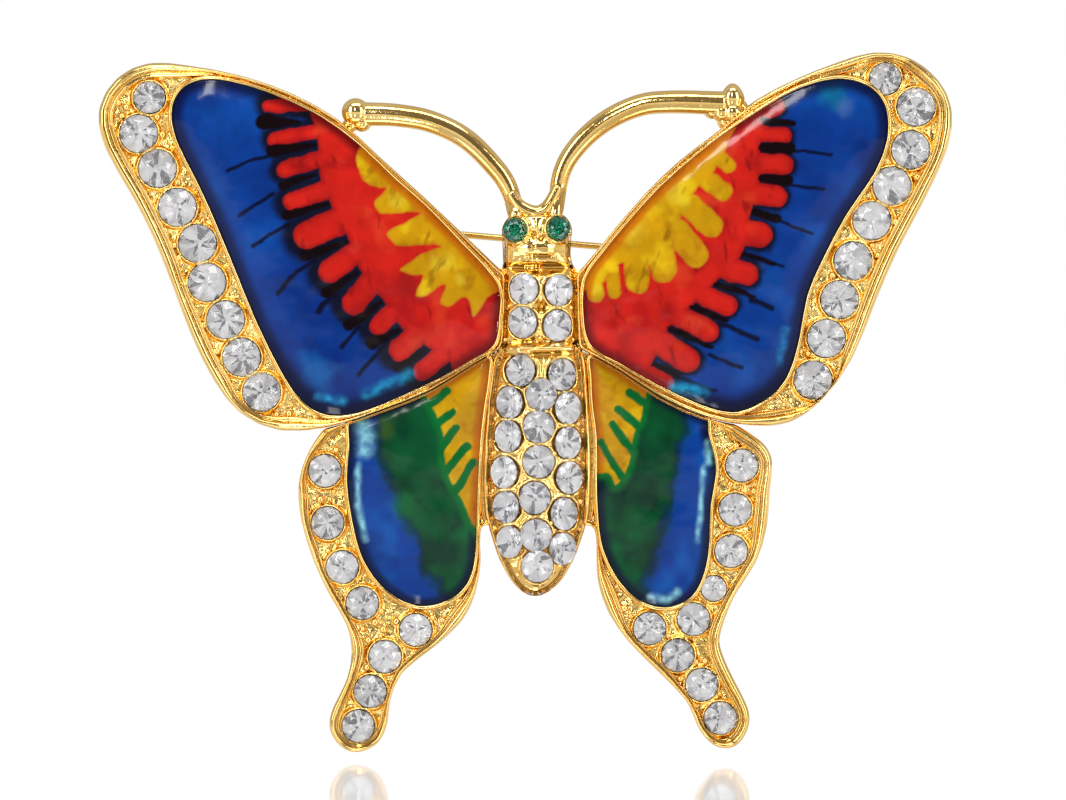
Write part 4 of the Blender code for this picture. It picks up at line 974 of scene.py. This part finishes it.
def body_depth(plan, edge):
    """The body's front: tapered abdomen, collar, thorax, neck and head."""
    x, y = plan[:, 0], plan[:, 1]
    left, right = body_edges(y)
    u = np.clip((x - (left + right) / 2) / ((right - left) / 2 + 1e-6), -1, 1)
    crown = np.interp(y, [11.7, 12.6, 14.0, 17, 26.5, 28.8, 29.6, 30.2, 30.9, 33.4, 35.6, 36.3, 37.2, 38.6,
                          40.0, 40.6],
                      [1.3, 1.9, 2.45, 2.95, 3.05, 2.95, 3.2, 3.4, 3.0, 3.1, 3.05, 2.55, 3.1, 3.15, 2.9,
                       2.2])
    sides = np.interp(y, [11.7, 12.6, 14, 29, 30.2, 36, 40.6], [0.9, 1.3, 1.6, 1.7, 2.0, 2.0, 1.7])
    depth = sides + (crown - sides) * np.sqrt(np.clip(1 - u * u, 0, 1))
    depth = depth - 1.1 * step(0.35, 0.0, edge)
    stones = [(cx, cy, 1.18) for cx, cy in ABDOMEN] + [(cx, cy, 1.1) for cx, cy in THORAX]
    for cx, cy, r in stones:
        away = np.hypot(x - cx, (y - cy) * 0.96)
        depth = depth + 0.16 * bell(away - r - 0.12, 0.14)
        depth = depth - 0.25 * step(r + 0.02, r - 0.15, away)
    for cy in (29.75, 30.75):
        depth = depth - 0.28 * bell(y - cy - 0.05 * x, 0.16)
    depth = depth + 0.22 * bell(y - 30.25, 0.26)
    depth = depth - 0.35 * bell(y - 36.25, 0.3)
    depth = depth - 0.45 * hump(x, y, 0.4, 33.4, 0.28, 0.35) + 0.2 * hump(x, y, 0.35, 34.9, 0.22, 0.9)
    depth = depth + 0.40 * hump(x, y, 0.0, 37.75, 1.6, 0.55)
    depth = depth - 0.32 * bell(y - 37.15, 0.10) * step(1.2, 0.7, np.abs(x - 0.35))
    depth = depth + 0.18 * hump(x, y, 0.1, 36.75, 1.1, 0.24)
    depth = depth + 0.26 * hump(x, y, 0.05, 39.5, 0.6, 0.9) + 0.2 * hump(x, y, 0.05, 40.3, 1.6, 0.35)
    depth = depth - 0.40 * hump(x, y, -0.18, 38.75, 0.2, 0.26) - 0.30 * hump(x, y, 0.38, 38.5, 0.18, 0.24)
    for cx, cy in EYES:
        away = np.hypot(x - cx, y - cy)
        depth = depth + 0.34 * bell(away - 1.02, 0.16) - 0.5 * step(0.95, 0.75, away)
    depth = depth + 0.035 * noise(x, y, 1.1, 91) + 0.02 * noise(x, y, 0.45, 97, 2)
    return depth


def thorax_fillet(way):
    """Metal that fills the groove between the thorax and the forewing on one side."""
    ups = np.arange(FILLET_FROM, FILLET_TO, STEP)
    edge = body_edges(ups)[0 if way < 0 else 1]
    rows = []
    for out, depth in FILLET:
        across = edge + way * out
        rows.append(np.column_stack([across, ups, depth + 0.12 * noise(across, ups, 0.4, 31)]))
    points = np.vstack(rows)
    count = len(ups)
    faces = []
    for row in range(len(FILLET) - 1):
        for k in range(count - 1):
            a, b = row * count + k, (row + 1) * count + k
            faces.append((a, b, b + 1, a + 1)[::way])
    return points, faces


def add_body():
    """The body casting, the abdomen's and thorax's crystals and the eyes."""
    ups = np.arange(11.75, 40.6, STEP)
    left, right = body_edges(ups)
    loop = np.vstack([np.column_stack([right, ups]), np.column_stack([left, ups])[::-1]])
    loop = soften(resample(loop, STEP), 0.2)
    loop = loop if area(loop) > 0 else loop[::-1]
    sizes = ((ABDOMEN, 1.19), (THORAX, 1.12), (EYES, 0.86))
    seats = [(*at, 0.86 * size) for places, size in sizes for at in places]
    points, faces, _, _ = relief(loop, body_depth, BODY_GRID, extend=-0.05,
                                 hole=lambda plan: off_seats(plan, seats))
    piece("body_front", points, faces, GOLD, replaced=["body_casting"])

    def side(offset, depth):
        front = body_depth(offset, np.zeros(len(offset)) + 0.06)
        return front if depth == TO_FRONT else np.full(len(offset), depth)
    skirt = [(0.5, 0.03), (-0.1, 0.03), (-0.26, 0.3), (-0.3, 1.2), (-0.22, 1.55), (-0.06, 1.7),
             (0.02, TO_FRONT), (0.12, TO_FRONT)]
    flare = np.interp(loop[:, 1], [11.8, 13.0, 14.5, 35.6, 36.6, 40.6], [0.1, 0.5, 1.0, 1.0, 0.1, 0.1])
    wall = sweep(loop, skirt, flare, taper=side)
    back = plain_back(loop, 0.05, 1.2, 8, 0.3)
    piece("body_sides", *joined(wall, back), GOLD_BACK, replaced=["body_casting"])
    piece("thorax_fillets", *joined(*[thorax_fillet(way) for way in (-1, 1)]), GOLD_BED,
          replaced=["body_casting"])
    shapes = []
    for cx, cy in ABDOMEN:
        u = (cx - 0.1) / 3.4
        dome = 1.75 + 1.3 * math.sqrt(1 - u * u)
        high, low = step(26.0, 29.5, np.array(cy)), step(16.5, 13.5, np.array(cy))
        up_lean = math.radians(16) * high - math.radians(16) * low
        narrow = (1.0 - 0.16 * min(1.0, abs(u) * 1.6), 1.02)
        shapes.append(stone(cx, cy, dome + 0.1, 1.2, math.radians(24) * u, float(up_lean), narrow))
    points, faces = joined(*shapes)
    add_stone("abdomen_crystals", (points, faces), ["abdomen_pave"], GLASS, FOIL_PAINTED_SHADES, "clear_crystal")
    for k, (cx, cy) in enumerate(THORAX, start=1):
        tilt = math.radians(14) * (-1 if cx < 0.3 else 1)
        add_stone(f"thorax_crystal_{k}_cut", stone(cx, cy, 3.1, 1.12, tilt, 0.0, (0.96, 1.05)),
                  [f"thorax_crystal_{k}"], GLASS, FOIL_PAINTED_SHADES, "clear_crystal")
    for k, (cx, cy) in enumerate(EYES, start=1):
        add_stone(f"eye_crystal_{k}_cut", stone(cx, cy, 3.05, 0.86), [f"eye_crystal_{k}"],
                  EMERALD, EMERALD_FOIL_PAINTED_SHADES, "green_crystal")
    grains = []
    for cx, cy, r in ((-0.55, 30.0, .2), (0.9, 25.3, .2), (-1.0, 25.2, .2), (1.35, 22.4, .22),
                      (-1.1, 22.8, .2), (1.2, 19.8, .22), (-1.3, 19.9, .22), (1.1, 17.2, .2),
                      (-1.1, 17.2, .2), (1.3, 24.6, .18), (3.3, 18.8, .24), (-3.2, 19.6, .22),
                      (3.2, 22.0, .2), (-3.2, 22.4, .2), (3.15, 24.6, .2), (-3.0, 25.0, .2),
                      (1.05, 14.6, .2), (-1.0, 14.5, .2), (0.35, 36.1, .2), (2.6, 33.3, .2),
                      (-2.0, 33.4, .18), (0.3, 12.6, .18), (0.3, 31.0, .2), (-2.3, 30.9, .18),
                      (2.75, 30.9, .18)):
        d = float(body_depth(np.array([[cx, cy]]), np.array([1.0]))[0])
        grains.append(bead(cx, cy, d, r))
    piece("body_grains", *joined(*grains), GOLD, replaced=["body_casting"])


def add_antenna(side):
    """One feeler: a bar that thickens from the head to its knob."""
    path = spline(ANTENNA_PATHS[side], 14)
    count = len(path)
    radii = 0.52 + 0.38 * np.sqrt(np.linspace(0, 1, count))
    depth = 1.6 + 0.9 * step(0.12, 0.0, np.linspace(0, 1, count))
    shaft_path = np.column_stack([path[:, 0] + SHIFT_ACROSS, BACK - depth, path[:, 1]])
    shaft = tube(shaft_path, radii, 24, 0.92)
    cx, cy, r, tall = KNOBS[side]
    knob_points, knob_faces = bead(0, 0, 0, r, 14, 26)
    knob = []
    for x, y, z in knob_points:
        narrow = 1 - 0.22 * max(y, 0) / r if side == "right" else 1.0
        knob.append((cx + SHIFT_ACROSS + x * narrow, BACK - 1.6 - z * 0.95, cy + y * tall))
    lumps = []
    for across, up, depth, size in SOLDER[side]:
        ball, ball_faces = bead(across + SHIFT_ACROSS, 0, 0, size, 8, 14)
        lumps.append(([(x, BACK - depth + z, up + y) for x, y, z in ball], ball_faces))
    points, faces = joined(shaft, (knob, knob_faces), *lumps)
    piece(f"{side}_antenna_bar", points * MM, faces, GOLD, replaced=[f"{side}_antenna"], in_frame=True)


def add_web():
    """The web of metal that joins the roots of the two feelers over the head."""
    path = spline([(-1.95, 41.9), (-1.15, 40.85), (0.0, 40.4), (0.9, 40.9), (1.7, 42.4)], 8)
    radii = 0.42 + 0.12 * np.cos(np.linspace(-math.pi / 2, math.pi / 2, len(path)))
    middle = np.column_stack([path[:, 0] + SHIFT_ACROSS, np.full(len(path), BACK - WEB_DEPTH), path[:, 1]])
    points, faces = joined(tube(middle, radii, 16))
    piece("antenna_web", points * MM, faces, GOLD, replaced=["body_casting"], in_frame=True)


# ---------------------------------------------------------------- pin

def dress_pin():
    """The pin's hinge and catch keep their shapes, with broken edges and plated metal."""
    for name in ("hinge_bracket", "hinge_rivet", "catch_body", "catch_rotor", "pin_stem"):
        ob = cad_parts[name]
        ob.data.materials.clear()
        ob.data.materials.append(GOLD if name in ("hinge_rivet", "pin_stem") else GOLD_BACK)
        weld = ob.modifiers.new("Weld", "WELD")
        weld.merge_threshold = 1e-6
        if name != "pin_stem":
            edges = ob.modifiers.new("Edges", "BEVEL")
            edges.width = 0.00007
            edges.segments = 2
            edges.limit_method = "ANGLE"
            edges.angle_limit = math.radians(35)
        smooth = ob.modifiers.new("Smooth", "WEIGHTED_NORMAL")
        smooth.keep_sharp = True
        for face in ob.data.polygons:
            face.use_smooth = True


for wing, facts in WINGS.items():
    add_wing(wing, facts["kind"], facts["stones"])
add_body()
add_antenna("left")
add_antenna("right")
add_web()
dress_pin()


# ---------------------------------------------------------------- studio

def area_light(name, at, size, power, aim=(0, 0, 26.4)):
    """A soft box that faces the brooch; distances in millimetres."""
    lamp = bpy.data.lights.new(name, "AREA")
    lamp.shape = "RECTANGLE"
    lamp.size, lamp.size_y = size[0] * MM, size[1] * MM
    lamp.energy = power
    ob = bpy.data.objects.new(name, lamp)
    ob.location = Vector(at) * MM
    ob.rotation_euler = (Vector(aim) - Vector(at)).to_track_quat("-Z", "Y").to_euler()
    bpy.context.scene.collection.objects.link(ob)


SENSOR, VIEW_WIDTH, CAMERA_AWAY = 36.0, 80.05, 500
CAMERA_ACROSS, CAMERA_UP = 0.575, 26.4


def build_studio():
    """White sweep, soft boxes with dark gaps between them, and the camera."""
    world = bpy.data.worlds.new("studio")
    bpy.context.scene.world = world
    world.use_nodes = True
    tree = world.node_tree
    link = tree.links.new
    tree.nodes.clear()
    out = node(tree, "ShaderNodeOutputWorld")
    seen = node(tree, "ShaderNodeBackground", Color=(1, 1, 1, 1), Strength=1.0)
    other = node(tree, "ShaderNodeBackground", Strength=1.0)
    path = node(tree, "ShaderNodeLightPath")
    mix = node(tree, "ShaderNodeMixShader")
    where = node(tree, "ShaderNodeTexCoord")
    split = node(tree, "ShaderNodeSeparateXYZ")
    link(where.outputs["Generated"], split.inputs[0])
    glow = ramp(tree, [(0.0, (0.16, 0.15, 0.14)), (0.30, (0.34, 0.33, 0.32)), (0.55, (0.75, 0.75, 0.76)),
                       (0.75, (0.60, 0.60, 0.62)), (0.93, (0.50, 0.50, 0.52)), (0.975, (1.0, 1.0, 1.0)),
                       (1.0, (1.0, 1.0, 1.0))])
    towards = node(tree, "ShaderNodeMapRange")
    towards.inputs["From Min"].default_value = -1.0
    link(split.outputs["Y"], towards.inputs["Value"])
    link(towards.outputs["Result"], glow.inputs["Fac"])
    link(glow.outputs["Color"], other.inputs["Color"])
    link(path.outputs["Is Camera Ray"], mix.inputs[0])
    link(other.outputs[0], mix.inputs[1])
    link(seen.outputs[0], mix.inputs[2])
    link(mix.outputs[0], out.inputs[0])
    area_light("left_box", (-330, -330, 190), (150, 330), 0.95)
    area_light("right_box", (340, -300, 150), (130, 330), 0.8)
    area_light("top_box", (20, -200, 420), (420, 120), 0.95)
    area_light("front_strip", (-60, -520, 260), (40, 160), 0.45)
    floor_mesh = bpy.data.meshes.new("floor")
    side, near, far, level = 3000 * MM, -3000 * MM, 3000 * MM, -0.45 * MM
    corners = [(-side, near, level), (side, near, level), (side, far, level), (-side, far, level)]
    floor_mesh.from_pydata(corners, [], [(0, 1, 2, 3)])
    floor = bpy.data.objects.new("floor", floor_mesh)

    def build(tree, shader):
        link = tree.links.new
        cloud = node(tree, "ShaderNodeTexNoise", Scale=9.0)
        shade = ramp(tree, [(0.3, (0.97, 0.97, 0.97)), (0.7, (1.0, 1.0, 1.0))])
        link(cloud.outputs["Fac"], shade.inputs["Fac"])
        link(shade.outputs["Color"], shader.inputs["Emission Color"])
        put(shader, ("Base Color", (0, 0, 0, 1)), ("Emission Strength", 1.06), ("Roughness", 1.0),
                    ("Specular IOR Level", 0.0))
        gloss = node(tree, "ShaderNodeBsdfGlossy", Color=(1, 1, 1, 1), Roughness=0.05)
        mix = node(tree, "ShaderNodeMixShader")
        where = node(tree, "ShaderNodeTexCoord")
        length = node(tree, "ShaderNodeVectorMath", operation="LENGTH")
        fade = node(tree, "ShaderNodeMapRange", interpolation_type="SMOOTHSTEP")
        for socket, value in (("From Min", 0.07), ("From Max", 0.26), ("To Min", 0.45), ("To Max", 0.0)):
            fade.inputs[socket].default_value = value
        link(where.outputs["Object"], length.inputs[0])
        link(length.outputs["Value"], fade.inputs["Value"])
        link(fade.outputs["Result"], mix.inputs[0])
        link(shader.outputs[0], mix.inputs[1])
        link(gloss.outputs[0], mix.inputs[2])
        link(mix.outputs[0], tree.nodes["Material Output"].inputs[0])
    floor_mesh.materials.append(make_material("floor_white", build))
    bpy.context.scene.collection.objects.link(floor)
    camera = bpy.data.cameras.new("camera")
    camera.sensor_width = SENSOR
    camera.lens = SENSOR * CAMERA_AWAY / VIEW_WIDTH
    ob = bpy.data.objects.new("camera", camera)
    ob.location = Vector((CAMERA_ACROSS, -CAMERA_AWAY, CAMERA_UP)) * MM
    ob.rotation_euler = (math.radians(90), 0, 0)
    camera.clip_start, camera.clip_end = 0.01, 100.0
    bpy.context.scene.collection.objects.link(ob)
    bpy.context.scene.camera = ob
    bpy.context.scene.view_settings.view_transform = "Standard"


build_studio()
